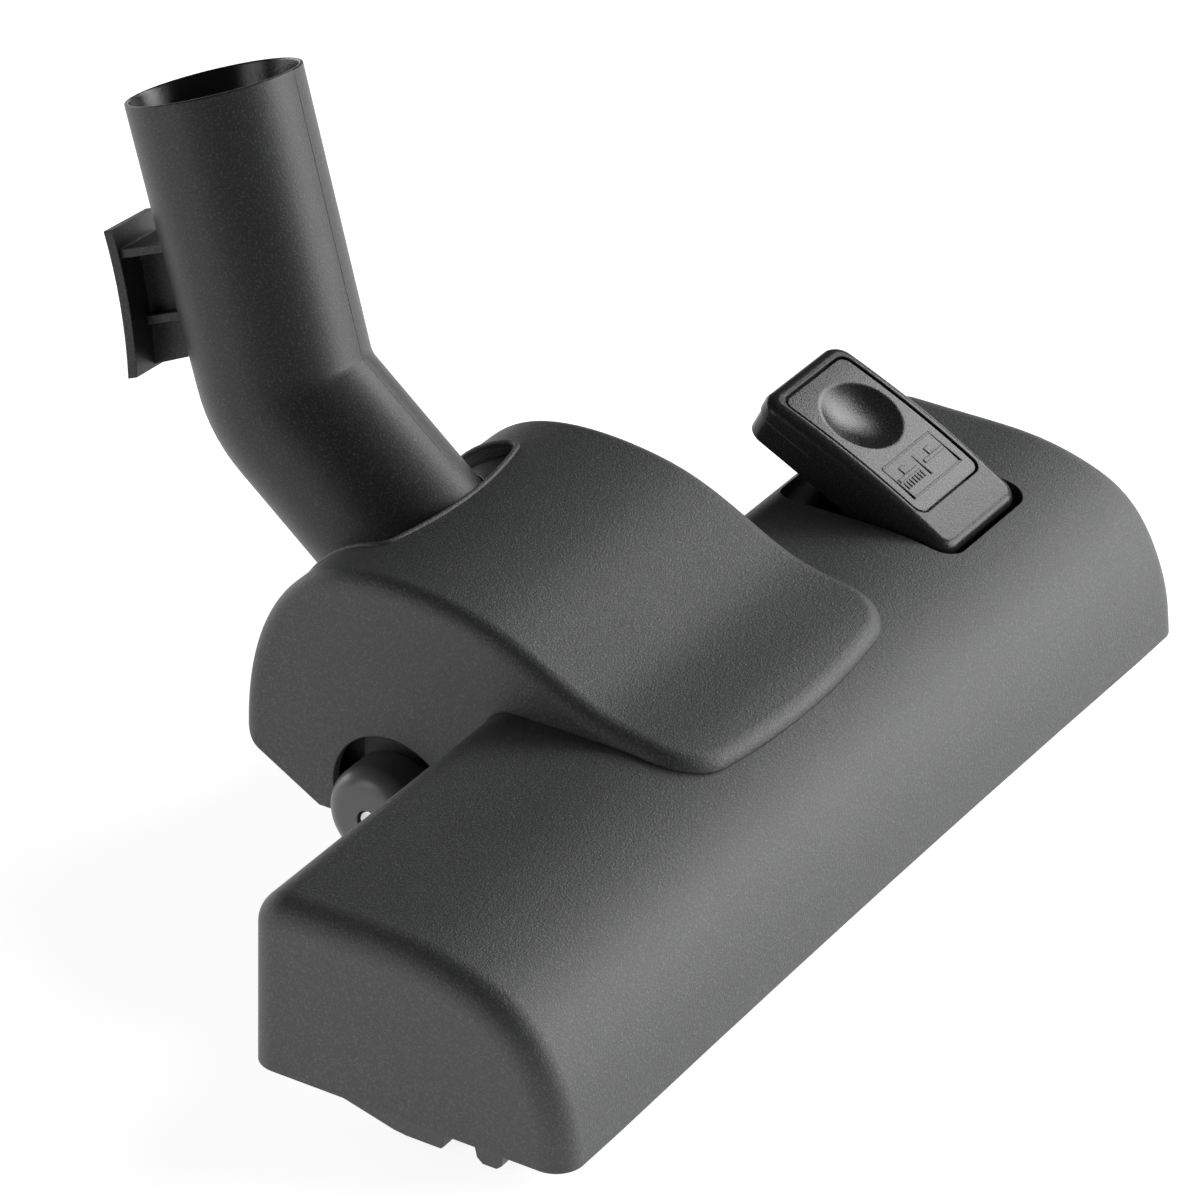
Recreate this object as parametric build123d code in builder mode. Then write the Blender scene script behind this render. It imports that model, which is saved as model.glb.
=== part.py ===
from build123d import *
from math import cos, radians, sin, tan
import os

os.makedirs("parts", exist_ok=True)

# Vacuum floor brush head. Millimetres, +Z up, floor at z = 0.
# X runs along the head, -Y is the front, +Y the side of the wheels and the neck.
# The origin lies on the floor under the middle of the head.

# Fits and clearances
running_gap = 0.05
seat_gap = 0.1
free_gap = 0.4
wall = 2.2
small_round = 0.5

# Head housing
head_length = 265.0
head_half = head_length / 2
skirt_height = 4.0
head_keel = -8.0
head_back_foot = 39.2
head_back_top = 37.4
head_top = 46.5
head_crown_y = 16.5
head_back_round = 8.0
end_roll = 6.5
skirt_arch_rise = 1.1
skirt_arch_half = head_half - 20.5
boss_radius = 3.6
boss_foot = 5.6
rear_port_half = 30.0
rear_port_low = 16.0
rear_port_high = 38.5

# Pedal and the slot it works in
pedal_middle = head_half - 44.0
pedal_width = 34.0
pedal_length = 56.6
pedal_lip = 4.5
pedal_depth = 10.6
pedal_step = 0.4
pedal_corner = 5.0
pedal_slope = 26.9
pedal_front_y = -13.3
pedal_front_z = 44.2
pedal_crown_radius = 260.0
pedal_edge_round = 2.8
pedal_wall = 2.0
slot_gap = 1.2
slot_front = -14.8
slot_back = 33.3
slot_corner = 5.5
slot_rim_wall = 1.8
slot_rim_low = 42.6
panel_width = 26.5
panel_length = 41.5
panel_back_offset = 4.0
panel_depth = 3.4
panel_corner = 2.5
panel_groove = 0.5
panel_edge_round = 0.4
dish_width_radius = 12.0
dish_depth = 2.3
dish_offset = 7.5
dish_blend = 3.0

# Lift shaft, its arms and bearings
shaft_y = 10.0
shaft_z = 39.0
shaft_radius = 2.5
shaft_left_end = -70.0
shaft_right_end = pedal_middle + 23.5
arm_length = 18.0
arm_rise = 2.0
arm_x = 57.0
arm_width = 4.0
arm_height = 6.4
arm_pin_radius = 2.0
arm_pin_reach = 6.4
pin_gap = 0.3
bearing_spots = (-67.3, -50.0, 50.0, 67.3, pedal_middle + 21.5)
bearing_thickness = 2.6
bearing_half = 6.0
bearing_low = 33.4
cap_foot = 1.5
cap_foot_depth = 5.0
hub_radius = 5.2
hub_inset = 1.4
hub_web_top = 51.0
hub_rib_spots = (-11.0, 0.0, 11.0)

# Brush carrier, brushes and springs
front_brush_y = -30.2
rear_brush_y = 28.0
brush_length = head_length - 45.0
backing_width = 7.6
backing_height = 4.6
backing_low = 11.6
bristle_length = 9.0
tuft_radius = 1.25
tuft_rows = 2
tuft_row_pitch = 3.4
tuft_pitch = 6.4
tuft_count = int(brush_length / tuft_pitch)
backing_chamfer = 0.6
channel_wall = 1.6
channel_low = 12.6
channel_top = 18.0
channel_corner = 2.0
carrier_length = brush_length + 6.0
bridge_x = head_half - 28.5
bridge_low = 24.0
bridge_height = 2.4
bridge_width = 14.0
bridge_front_foot = -32.0
bridge_front_top = -28.0
bridge_back = 32.0
bridge_leg = 2.5
lug_thickness = 3.0
lug_front = 21.5
lug_back = 32.0
lug_offset = 4.9
lug_top = 43.2
post_radius = 3.0
post_top = 34.0
spring_wire = 0.45
spring_radius = 4.6
spring_turns = 6

# Soleplate
sole_low = 3.2
sole_thickness = 2.4
sole_front = -38.9
sole_back = 36.3
sole_corner = 5.0
land_half = head_half - small_round
land_top = 3.9
mouth_half = 25.0
mouth_back = 8.0
mouth_front = -18.2
mouth_corner = 3.0
brush_slot_width = 8.8
brush_slot_length = brush_length + 4.0
brush_slot_corner = 2.0
lint_length = 72.0
lint_width = 6.0
lint_thickness = 1.0
lint_corner = 1.0
lint_pocket = 1.2
lint_x = head_half - 60.5
lint_y = -5.5

# Air duct
duct_half = 28.0
duct_front = -18.4
duct_shoulder_z = 28.0
duct_shoulder_y = -9.0
duct_step = 12.0
duct_floor = 18.8
duct_roof = 36.0
duct_wall = 1.8
duct_back = 37.7
seal_y = 40.2
seal_z = 37.2
seal_width = 3.0
seal_thickness = 2.4

# Neck: tilt axis, drum and swivel
tilt_y = 68.0
tilt_z = 38.7
neck_rise = 40.0
drum_radius = 26.6
drum_half = 26.6
trunnion_radius = 5.0
trunnion_end = 32.5
collar_radius = 22.6
collar_low = 6.0
thrust_step = 16.0
spigot_radius = 19.2
spigot_low = 2.0
port_low_angle = 80.0
port_high_angle = 8.0
ring_low = 3.2
ring_thickness = 2.2
ring_radius = 22.2
ring_groove_radius = 18.1
seal_low = 10.0
seal_height = 2.6

# Elbow tube and park hook
swivel_turn = 13.2
bend_angle = 30.5
bend_distance = 64.8
bend_radius = 23.0
tube_radius = 20.1
upper_length = 72.5
mouth_radius = 20.5
tube_bore_radius = 16.9
socket_radius = 17.7
socket_depth = 40.0
lead_radius = 19.6
lead_depth = 8.0
rim_round = 0.35
hook_low = 10.5
hook_high = 44.7
hook_half = 10.2
hook_low_reach = 34.2
hook_high_reach = 31.0
hook_bow = 1.1
hook_plate = 2.3
hook_sink = 0.6
hook_shelf = 38.8
hook_shelf_thickness = 2.0
hook_rib = 2.2
hook_cross_rib = 22.0
hook_cross_half = 4.5

# Neck cover and rear housing
cover_half = 43.0
cover_round = 4.2
cover_wall = 2.4
tongue_corner = 13.0
tongue_tip_y = -19.8
tongue_side_y = -15.8
hollow_front = 4.0
neck_slot_half = 27.2
neck_slot_front = 70.0
neck_slot_side = 74.5
neck_slot_corner = 3.0
cheek_wall = 2.2
cheek_front = 42.0
cheek_back = 102.0
underside_z = 5.8
underside_break_y = 82.0
underside_rise = 30.0
heel_y = 102.9
heel_round = 10.0
arch_y = 62.0
arch_z = 13.5
arch_radius = 16.0
housing_half = 36.0
housing_front = 37.0
housing_back = 99.0
housing_back_high = 19.6
flange_thickness = 4.6
flange_top = 42.0
trough_radius = 27.4
bracket_width = 22.0
bracket_top = 24.0
front_block_length = 12.0
side_wall_high = 31.0
cover_screw_spots = ((-33.4, 47.5), (33.4, 47.5), (-33.4, 88.0), (33.4, 88.0))
cover_boss_low = 17.5
cover_boss_radius = 3.8
cover_screw_seat = 12.5

# Wheels and axles
wheel_y = 63.0
wheel_radius = 12.0
wheel_outer = 51.5
wheel_width = 12.6
wheel_round = 4.5
wheel_inner_round = 1.0
axle_radius = 1.75
axle_head_radius = 2.6
axle_head_length = 1.6
axle_inner = 29.8
axle_recess = 0.6
hub_hole_radius = 2.9
axle_boss_radius = 4.6

# Screws
screw_head_radius = 3.2
screw_head_height = 1.9
screw_radius = 1.5
screw_length = 12.0
screw_slot_width = 1.0
screw_slot_length = 3.6
screw_slot_depth = 0.9
end_screw_x = head_half - 10.5
sole_screw_spots = (
    (-end_screw_x, 22.0),
    (end_screw_x, 22.0),
    (-end_screw_x, -21.0),
    (end_screw_x, -21.0),
    (-40.0, 17.0),
    (40.0, 17.0),
)
sole_screw_seat = 4.4

# Values worked out from those above, and helpers
curve_steps = 12
beyond = 120.0
sole_half = head_half - wall - 2 * seat_gap
side_plane = Plane.YZ
wheel_z = wheel_radius
sole_top = sole_low + sole_thickness


# Points beside a curve at a constant distance on its left hand
def beside(curve, distance):
    points = []
    for step in range(curve_steps + 1):
        place = curve @ (step / curve_steps)
        heading = curve % (step / curve_steps)
        points.append((place.X - heading.Y * distance, place.Y + heading.X * distance))
    return points


# Side outline of the head, moved in by the given amount
def head_section(inset):
    shoulder = Spline(
        (head_crown_y, head_top),
        (-5.0, 45.8),
        (-15.8, 43.4),
        (-26.6, 38.4),
        (-35.0, 28.5),
        (-39.6, 17.0),
        (-41.4, skirt_height),
        tangents=[(-1, 0), (-0.08, -1)],
    )
    points = beside(shoulder, inset)
    with BuildSketch() as section:
        with BuildLine():
            Spline(*points, tangents=[shoulder % 0, shoulder % 1])
            Polyline(
                points[-1],
                (points[-1][0] - 0.6, head_keel + inset),
                (head_back_foot - inset, head_keel + inset),
                (head_back_top - inset, head_top - inset),
                points[0],
            )
        make_face()
        fillet(section.vertices().group_by(Axis.Y)[-1].sort_by(Axis.X)[-1], head_back_round - inset)
    return section.sketch


# Solid head form, smaller by the given amount on every side
def head_form(inset, roll):
    section = head_section(inset)
    with BuildPart() as form:
        with BuildSketch(side_plane):
            add(section)
        extrude(amount=head_half - inset, both=True)
        fillet(form.faces().filter_by(Axis.X).edges(), roll)
    return form.part


# Head envelope used to seat the cover on the head
def head_envelope():
    section = head_section(-seat_gap)
    with BuildPart() as envelope:
        with BuildSketch(side_plane):
            add(section)
        extrude(amount=cover_half + wall, both=True)
    return envelope.part


# Upright block with the outline of the pedal slot, grown by the given amount
def slot_outline(grow, low, high):
    with BuildPart() as block:
        with BuildSketch(Plane.XY.offset(low)):
            with Locations((pedal_middle, (slot_front + slot_back) / 2)):
                RectangleRounded(
                    pedal_width + 2 * slot_gap + 2 * grow,
                    slot_back - slot_front + 2 * grow,
                    slot_corner + grow,
                )
        extrude(amount=high - low)
    return block.part


# Head housing
outer_head = head_form(0, end_roll)
inner_head = head_form(wall, end_roll - wall)
envelope = head_envelope()
slot_rim = slot_outline(slot_rim_wall, slot_rim_low, head_top + wall)
slot_hole = slot_outline(0, slot_rim_low - wall, head_top + wall)
with BuildPart() as head_housing:
    add(outer_head)
    add(inner_head, mode=Mode.SUBTRACT)
    with BuildSketch(Plane.XY.offset(boss_foot)):
        with Locations(*sole_screw_spots):
            Circle(boss_radius)
    extrude(amount=head_top)
    add(slot_rim)
    for x in bearing_spots:
        with BuildSketch(Plane.YZ.offset(x)):
            with Locations((shaft_y, (bearing_low + head_top) / 2)):
                Rectangle(2 * bearing_half, head_top - bearing_low)
        extrude(amount=bearing_thickness / 2, both=True)
    add(outer_head, mode=Mode.INTERSECT)
    split(bisect_by=Plane.XY.offset(skirt_height), keep=Keep.TOP)
    add(slot_hole, mode=Mode.SUBTRACT)
    for x in bearing_spots:
        with BuildSketch(Plane.YZ.offset(x)):
            with Locations((shaft_y, shaft_z)):
                Circle(shaft_radius + running_gap)
            with Locations((shaft_y, (shaft_z + bearing_low - wall) / 2)):
                Rectangle(2 * (shaft_radius + running_gap), shaft_z - bearing_low + wall)
        extrude(amount=bearing_thickness, both=True, mode=Mode.SUBTRACT)
    with BuildSketch(Plane.XZ.offset(-head_back_foot - wall)):
        with Locations((0, (rear_port_low + rear_port_high) / 2)):
            Rectangle(2 * rear_port_half, rear_port_high - rear_port_low)
    extrude(amount=3 * wall, mode=Mode.SUBTRACT)
    with BuildSketch(Plane.XZ.offset(head_half)):
        with BuildLine():
            ThreePointArc(
                (-skirt_arch_half, skirt_height),
                (0, skirt_height + skirt_arch_rise),
                (skirt_arch_half, skirt_height),
            )
            Line((skirt_arch_half, skirt_height), (-skirt_arch_half, skirt_height))
        make_face()
    extrude(amount=-(head_half - sole_back), mode=Mode.SUBTRACT)
    with BuildSketch(Plane.XY.offset(boss_foot)):
        with Locations(*sole_screw_spots):
            Circle(screw_radius + running_gap)
    extrude(amount=screw_length, mode=Mode.SUBTRACT)
head_housing.part.label = "head_housing"
export_step(head_housing.part, "parts/head_housing.step")


# Soleplate with its two sliding lands, brush slots, mouth and guide posts
with BuildPart() as soleplate:
    with BuildSketch(Plane.XY.offset(sole_low)):
        with Locations((0, (sole_front + sole_back) / 2)):
            RectangleRounded(2 * sole_half, sole_back - sole_front, sole_corner)
    extrude(amount=sole_thickness)
    with BuildSketch(side_plane):
        with BuildLine():
            Polyline(
                (15.5, land_top),
                (1.5, 0.35),
                (-1.5, 0),
                (-10.2, 0),
                (-11.0, 0.8),
                (-11.0, land_top),
                close=True,
            )
        make_face()
        with BuildLine():
            Polyline(
                (-18.6, land_top),
                (-19.2, 1.3),
                (-20.6, 0.1),
                (-24.0, 0.1),
                (-25.2, 1.1),
                (-25.7, land_top),
                close=True,
            )
        make_face()
    extrude(amount=land_half, both=True)
    with BuildSketch(Plane.XY.offset(sole_top)):
        with Locations((-bridge_x, 0), (bridge_x, 0)):
            Circle(post_radius)
    extrude(amount=post_top - sole_top)
    with BuildSketch(Plane.XY.offset(-wall)):
        with Locations((0, (mouth_front + mouth_back) / 2)):
            RectangleRounded(2 * mouth_half, mouth_back - mouth_front, mouth_corner)
        with Locations((0, front_brush_y), (0, rear_brush_y)):
            RectangleRounded(brush_slot_length, brush_slot_width, brush_slot_corner)
        with Locations(*sole_screw_spots):
            Circle(screw_radius + seat_gap)
    extrude(amount=sole_top + wall + 1, mode=Mode.SUBTRACT)
    with BuildSketch(Plane.XY.offset(-wall)):
        with Locations(*sole_screw_spots):
            Circle(screw_head_radius + free_gap)
    extrude(amount=sole_screw_seat + wall, mode=Mode.SUBTRACT)
    with BuildSketch(Plane.XY.offset(-wall)):
        with Locations((-lint_x, lint_y), (lint_x, lint_y)):
            Rectangle(lint_length + 2 * seat_gap, lint_width + 2 * seat_gap)
    extrude(amount=lint_pocket + wall, mode=Mode.SUBTRACT)
soleplate.part.label = "soleplate"
export_step(soleplate.part, "parts/soleplate.step")


# Velvet strip let into the rear land
def lint_strip(x):
    with BuildPart() as strip:
        with BuildSketch(Plane.XY.offset(lint_pocket - lint_thickness)):
            with Locations((x, lint_y)):
                RectangleRounded(lint_length, lint_width, lint_corner)
        extrude(amount=lint_thickness)
    return strip


left_lint_strip = lint_strip(-lint_x)
left_lint_strip.part.label = "left_lint_strip"
export_step(left_lint_strip.part, "parts/left_lint_strip.step")
right_lint_strip = lint_strip(lint_x)
right_lint_strip.part.label = "right_lint_strip"
export_step(right_lint_strip.part, "parts/right_lint_strip.step")

# Air duct from the mouth to the rear housing
with BuildPart() as air_duct:
    with BuildSketch(side_plane) as duct_section:
        with BuildLine():
            Polyline(
                (duct_front, sole_top),
                (duct_front, duct_shoulder_z),
                (duct_shoulder_y, duct_roof),
                (duct_back, duct_roof),
                (duct_back, duct_floor),
                (duct_step, duct_floor),
                (duct_step, sole_top),
                close=True,
            )
        make_face()
    extrude(amount=duct_half, both=True)
    with BuildSketch(side_plane):
        add(duct_section.sketch_local)
        offset(amount=-duct_wall)
        with Locations(((duct_front + duct_step) / 2, sole_top + duct_wall)):
            Rectangle(duct_step - duct_front - 2 * duct_wall, 4 * duct_wall)
        with Locations((duct_back, (duct_floor + duct_roof) / 2)):
            Rectangle(4 * duct_wall, duct_roof - duct_floor - 2 * duct_wall)
    extrude(amount=duct_half - duct_wall, both=True, mode=Mode.SUBTRACT)
air_duct.part.label = "air_duct"
export_step(air_duct.part, "parts/air_duct.step")

# Lift shaft with a crank arm and pin on each side
pin_y = shaft_y + arm_length * cos(radians(arm_rise))
pin_z = shaft_z + arm_length * sin(radians(arm_rise))
with BuildPart() as lift_shaft:
    with BuildSketch(Plane.YZ.offset(shaft_left_end)):
        with Locations((shaft_y, shaft_z)):
            Circle(shaft_radius)
    extrude(amount=shaft_right_end - shaft_left_end)
    for side in (-1, 1):
        with BuildSketch(Plane.YZ.offset(side * arm_x)):
            with Locations(((shaft_y + pin_y) / 2, (shaft_z + pin_z) / 2)):
                SlotCenterToCenter(arm_length, arm_height, rotation=arm_rise)
        extrude(amount=arm_width / 2, both=True)
        with BuildSketch(Plane.YZ.offset(side * arm_x)):
            with Locations((pin_y, pin_z)):
                Circle(arm_pin_radius)
        extrude(amount=side * arm_pin_reach)
    chamfer(lift_shaft.faces().filter_by(Axis.X).sort_by(Axis.X)[-1].edges(), small_round)
lift_shaft.part.label = "lift_shaft"
export_step(lift_shaft.part, "parts/lift_shaft.step")

# Caps that close the shaft bearings from below
with BuildPart() as shaft_caps:
    for x in bearing_spots:
        with BuildSketch(Plane.YZ.offset(x)):
            with Locations((shaft_y, (bearing_low + shaft_z) / 2)):
                Rectangle(2 * shaft_radius, shaft_z - bearing_low)
            with Locations((shaft_y, shaft_z)):
                Circle(shaft_radius + running_gap, mode=Mode.SUBTRACT)
                Rectangle(3 * shaft_radius, 2 * shaft_radius, mode=Mode.SUBTRACT)
        extrude(amount=bearing_thickness / 2, both=True)
        with BuildSketch(Plane.YZ.offset(x)):
            with Locations((shaft_y, bearing_low - cap_foot / 2)):
                Rectangle(2 * bearing_half, cap_foot)
        extrude(amount=cap_foot_depth / 2, both=True)
shaft_caps.part.label = "shaft_caps"
export_step(shaft_caps.part, "parts/shaft_caps.step")

# Pedal, built square to its sloping top
slope = radians(pedal_slope)
pedal_plane = Plane(
    origin=(
        pedal_middle,
        pedal_front_y + pedal_length / 2 * cos(slope),
        pedal_front_z + pedal_length / 2 * sin(slope),
    ),
    x_dir=(1, 0, 0),
    z_dir=(0, -sin(slope), cos(slope)),
)
pedal_crown = pedal_length**2 / (8 * pedal_crown_radius)
panel_middle = pedal_length / 2 - panel_back_offset - panel_length / 2


# Large cylinder that rounds the top of the pedal from front to back
def crown_block(drop):
    with BuildPart() as block:
        centre = pedal_plane.from_local_coords((0, 0, pedal_crown - drop - pedal_crown_radius))
        with BuildSketch(Plane.YZ.offset(pedal_middle)):
            with Locations((centre.Y, centre.Z)):
                Circle(pedal_crown_radius)
        extrude(amount=pedal_width, both=True)
    return block.part


with BuildPart() as pedal:
    with BuildSketch(pedal_plane.offset(-pedal_lip)):
        RectangleRounded(pedal_width, pedal_length, pedal_corner)
    extrude(amount=pedal_lip + pedal_crown + 1)
    add(crown_block(0), mode=Mode.INTERSECT)
    crown_face = pedal.faces().filter_by(GeomType.CYLINDER).sort_by(SortBy.AREA)[-1]
    fillet(crown_face.edges(), pedal_edge_round)
    with BuildSketch(pedal_plane.offset(-pedal_depth)):
        RectangleRounded(
            pedal_width - 2 * pedal_step,
            pedal_length - 2 * pedal_step,
            pedal_corner - pedal_step,
        )
    extrude(amount=pedal_depth - pedal_lip)
    with BuildSketch(pedal_plane.offset(-pedal_depth)):
        RectangleRounded(
            pedal_width - 2 * pedal_step - 2 * pedal_wall,
            pedal_length - 2 * pedal_step - 2 * pedal_wall,
            pedal_corner - pedal_step - pedal_wall,
        )
    extrude(amount=pedal_depth + pedal_crown - panel_depth - 2 * pedal_wall, mode=Mode.SUBTRACT)
    with BuildSketch(pedal_plane.offset(pedal_crown - panel_depth)):
        with Locations((0, panel_middle)):
            RectangleRounded(
                panel_width + 2 * panel_groove,
                panel_length + 2 * panel_groove,
                panel_corner + panel_groove,
            )
    extrude(amount=panel_depth + 1, mode=Mode.SUBTRACT)
    with BuildSketch(Plane.YZ.offset(pedal_middle)):
        with Locations((shaft_y, shaft_z)):
            Circle(hub_radius)
    extrude(amount=pedal_width / 2 - hub_inset, both=True)
    for rib_x in hub_rib_spots:
        with BuildSketch(Plane.YZ.offset(pedal_middle + rib_x)):
            with Locations((shaft_y, (shaft_z + hub_web_top) / 2)):
                Rectangle(2 * hub_radius, hub_web_top - shaft_z)
        extrude(amount=pedal_wall / 2, both=True)
    with BuildSketch(Plane.YZ.offset(pedal_middle)):
        with Locations((shaft_y, shaft_z)):
            Circle(shaft_radius + running_gap)
    extrude(amount=pedal_width, both=True, mode=Mode.SUBTRACT)
pedal.part.label = "pedal"
export_step(pedal.part, "parts/pedal.step")

# Panel let into the pedal, with a round dish for the toe
dish_radius = (dish_width_radius**2 + dish_depth**2) / (2 * dish_depth)
dish_height = pedal_crown + dish_radius - dish_depth
dish_centre = pedal_plane.from_local_coords((0, panel_middle + dish_offset, dish_height))
with BuildPart() as pedal_panel:
    with BuildSketch(pedal_plane.offset(pedal_crown - panel_depth)):
        with Locations((0, panel_middle)):
            RectangleRounded(panel_width, panel_length, panel_corner)
    extrude(amount=panel_depth + 1)
    add(crown_block(panel_groove / 2), mode=Mode.INTERSECT)
    panel_face = pedal_panel.faces().filter_by(GeomType.CYLINDER).sort_by(SortBy.AREA)[-1]
    fillet(panel_face.edges(), panel_edge_round)
    with Locations(dish_centre):
        Sphere(dish_radius, mode=Mode.SUBTRACT)
    dish_face = pedal_panel.faces().filter_by(GeomType.SPHERE)[0]
    fillet(dish_face.edges(), dish_blend)
pedal_panel.part.label = "pedal_panel"
export_step(pedal_panel.part, "parts/pedal_panel.step")

# Brush carrier: two channels, two bridges on the guide posts, two slotted lugs
lug_x = arm_x + lug_offset
with BuildPart() as brush_carrier:
    for y in (front_brush_y, rear_brush_y):
        with BuildSketch(Plane.XY.offset(channel_low)):
            with Locations((0, y)):
                RectangleRounded(carrier_length, backing_width + 2 * channel_wall, channel_corner)
        extrude(amount=channel_top - channel_low)
    for side in (-1, 1):
        with BuildSketch(Plane.YZ.offset(side * bridge_x)):
            with BuildLine():
                Polyline(
                    (bridge_front_foot, channel_top),
                    (bridge_front_top, bridge_low + bridge_height),
                    (bridge_back, bridge_low + bridge_height),
                    (bridge_back, channel_top),
                    (bridge_back - bridge_leg, channel_top),
                    (bridge_back - bridge_leg, bridge_low),
                    (bridge_front_top + bridge_leg, bridge_low),
                    (bridge_front_foot + bridge_leg, channel_top),
                    close=True,
                )
            make_face()
        extrude(amount=bridge_width / 2, both=True)
        with BuildSketch(Plane.YZ.offset(side * lug_x)):
            with Locations(((lug_front + lug_back) / 2, (channel_top + lug_top) / 2)):
                Rectangle(lug_back - lug_front, lug_top - channel_top)
            with Locations((pin_y - pin_gap, pin_z)):
                SlotCenterToCenter(4 * pin_gap, 2 * (arm_pin_radius + pin_gap), mode=Mode.SUBTRACT)
        extrude(amount=lug_thickness / 2, both=True)
    for y in (front_brush_y, rear_brush_y):
        with BuildSketch(Plane.XY.offset(channel_low)):
            with Locations((0, y)):
                Rectangle(brush_length + 2 * seat_gap, backing_width + 2 * seat_gap)
        extrude(amount=backing_low + backing_height - channel_low, mode=Mode.SUBTRACT)
    with BuildSketch(Plane.XY.offset(channel_low)):
        with Locations((-bridge_x, 0), (bridge_x, 0)):
            Circle(post_radius + running_gap)
    extrude(amount=post_top, mode=Mode.SUBTRACT)
brush_carrier.part.label = "brush_carrier"
export_step(brush_carrier.part, "parts/brush_carrier.step")


# Backing strip held in a channel of the carrier
def brush_backing(y):
    with BuildPart() as backing:
        with BuildSketch(Plane.XY.offset(backing_low)):
            with Locations((0, y)):
                Rectangle(brush_length, backing_width)
        extrude(amount=backing_height)
        chamfer(backing.faces().sort_by(Axis.Z)[0].edges().filter_by(Axis.X), backing_chamfer)
    return backing


# Rows of bristle tufts under a backing strip
def bristle_rows(y):
    with BuildPart() as bristles:
        with BuildSketch(Plane.XY.offset(backing_low - bristle_length)):
            with Locations((0, y)):
                with GridLocations(tuft_pitch, tuft_row_pitch, tuft_count, tuft_rows):
                    RegularPolygon(tuft_radius, 6)
        extrude(amount=bristle_length)
    return bristles


front_backing = brush_backing(front_brush_y)
front_backing.part.label = "front_brush_backing"
export_step(front_backing.part, "parts/front_brush_backing.step")
rear_backing = brush_backing(rear_brush_y)
rear_backing.part.label = "rear_brush_backing"
export_step(rear_backing.part, "parts/rear_brush_backing.step")
front_bristles = bristle_rows(front_brush_y)
front_bristles.part.label = "front_bristles"
export_step(front_bristles.part, "parts/front_bristles.step")
rear_bristles = bristle_rows(rear_brush_y)
rear_bristles.part.label = "rear_bristles"
export_step(rear_bristles.part, "parts/rear_bristles.step")

# Springs that lift the carrier, one round each guide post
spring_height = bridge_low - sole_top - 2 * spring_wire - 2 * running_gap
with BuildPart() as carrier_springs:
    for side in (-1, 1):
        with BuildLine() as coil:
            Helix(
                spring_height / spring_turns,
                spring_height,
                spring_radius,
                center=(side * bridge_x, 0, sole_top + spring_wire + running_gap),
            )
        with BuildSketch(Plane(origin=coil.line @ 0, z_dir=coil.line % 0)):
            RegularPolygon(spring_wire, 6)
        sweep(path=coil.line, is_frenet=True)
carrier_springs.part.label = "carrier_springs"
export_step(carrier_springs.part, "parts/carrier_springs.step")

# Directions of the lower and upper tube
rise = radians(neck_rise)
turn = radians(swivel_turn)
tilt_point = Vector(0, tilt_y, tilt_z)
neck_direction = Vector(0, cos(rise), sin(rise))
side_direction = Vector(cos(turn), sin(turn) * sin(rise), -sin(turn) * cos(rise))
neck_plane = Plane(origin=tilt_point, x_dir=side_direction, z_dir=neck_direction)
path_plane = Plane(origin=tilt_point, x_dir=neck_direction, z_dir=side_direction)
bend = radians(bend_angle)
bend_point = path_plane.from_local_coords((bend_distance, 0, 0))
upper_direction = path_plane.from_local_coords((bend_distance + cos(bend), sin(bend), 0)) - bend_point
upper_plane = Plane(origin=bend_point, x_dir=side_direction, z_dir=upper_direction)
hook_plane = Plane(origin=bend_point, x_dir=upper_plane.y_dir, z_dir=side_direction)
bend_leg = bend_radius * sin(bend / 2) / cos(bend / 2)


# Ring round the neck axis between two distances from the tilt axis
def neck_ring(low, high, outer, inner):
    with BuildPart() as ring:
        with BuildSketch(neck_plane.offset(low)):
            Circle(outer)
            if inner:
                Circle(inner, mode=Mode.SUBTRACT)
        extrude(amount=high - low)
    return ring.part


# Knuckle: drum with trunnions, collar for the elbow and an air port below
with BuildPart() as drum_form:
    with BuildSketch(side_plane):
        with Locations((tilt_y, tilt_z)):
            Circle(drum_radius)
    extrude(amount=drum_half, both=True)
with BuildPart() as knuckle:
    add(neck_ring(collar_low, 2 * drum_radius, collar_radius, 0))
    add(drum_form.part, mode=Mode.INTERSECT)
    with BuildSketch(side_plane):
        with Locations((tilt_y, tilt_z)):
            Circle(drum_radius)
            Circle(drum_radius - wall, mode=Mode.SUBTRACT)
        with BuildLine():
            Polyline(
                (tilt_y, tilt_z),
                (tilt_y - 60 * cos(radians(port_high_angle)), tilt_z - 60 * sin(radians(port_high_angle))),
                (tilt_y - 60, tilt_z - 60),
                (tilt_y - 60 * cos(radians(port_low_angle)), tilt_z - 60 * sin(radians(port_low_angle))),
                close=True,
            )
        make_face(mode=Mode.SUBTRACT)
    extrude(amount=drum_half, both=True)
    for side in (-1, 1):
        with BuildSketch(Plane.YZ.offset(side * drum_half)):
            with Locations((tilt_y, tilt_z)):
                Circle(drum_radius)
        extrude(amount=-side * wall)
        with BuildSketch(Plane.YZ.offset(side * drum_half)):
            with Locations((tilt_y, tilt_z)):
                Circle(trunnion_radius)
        extrude(amount=side * (trunnion_end - drum_half))
    add(neck_ring(0, thrust_step, spigot_radius + running_gap, 0), mode=Mode.SUBTRACT)
    add(neck_ring(thrust_step, 2 * drum_radius, tube_radius + free_gap, 0), mode=Mode.SUBTRACT)
knuckle.part.label = "knuckle"
export_step(knuckle.part, "parts/knuckle.step")

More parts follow.
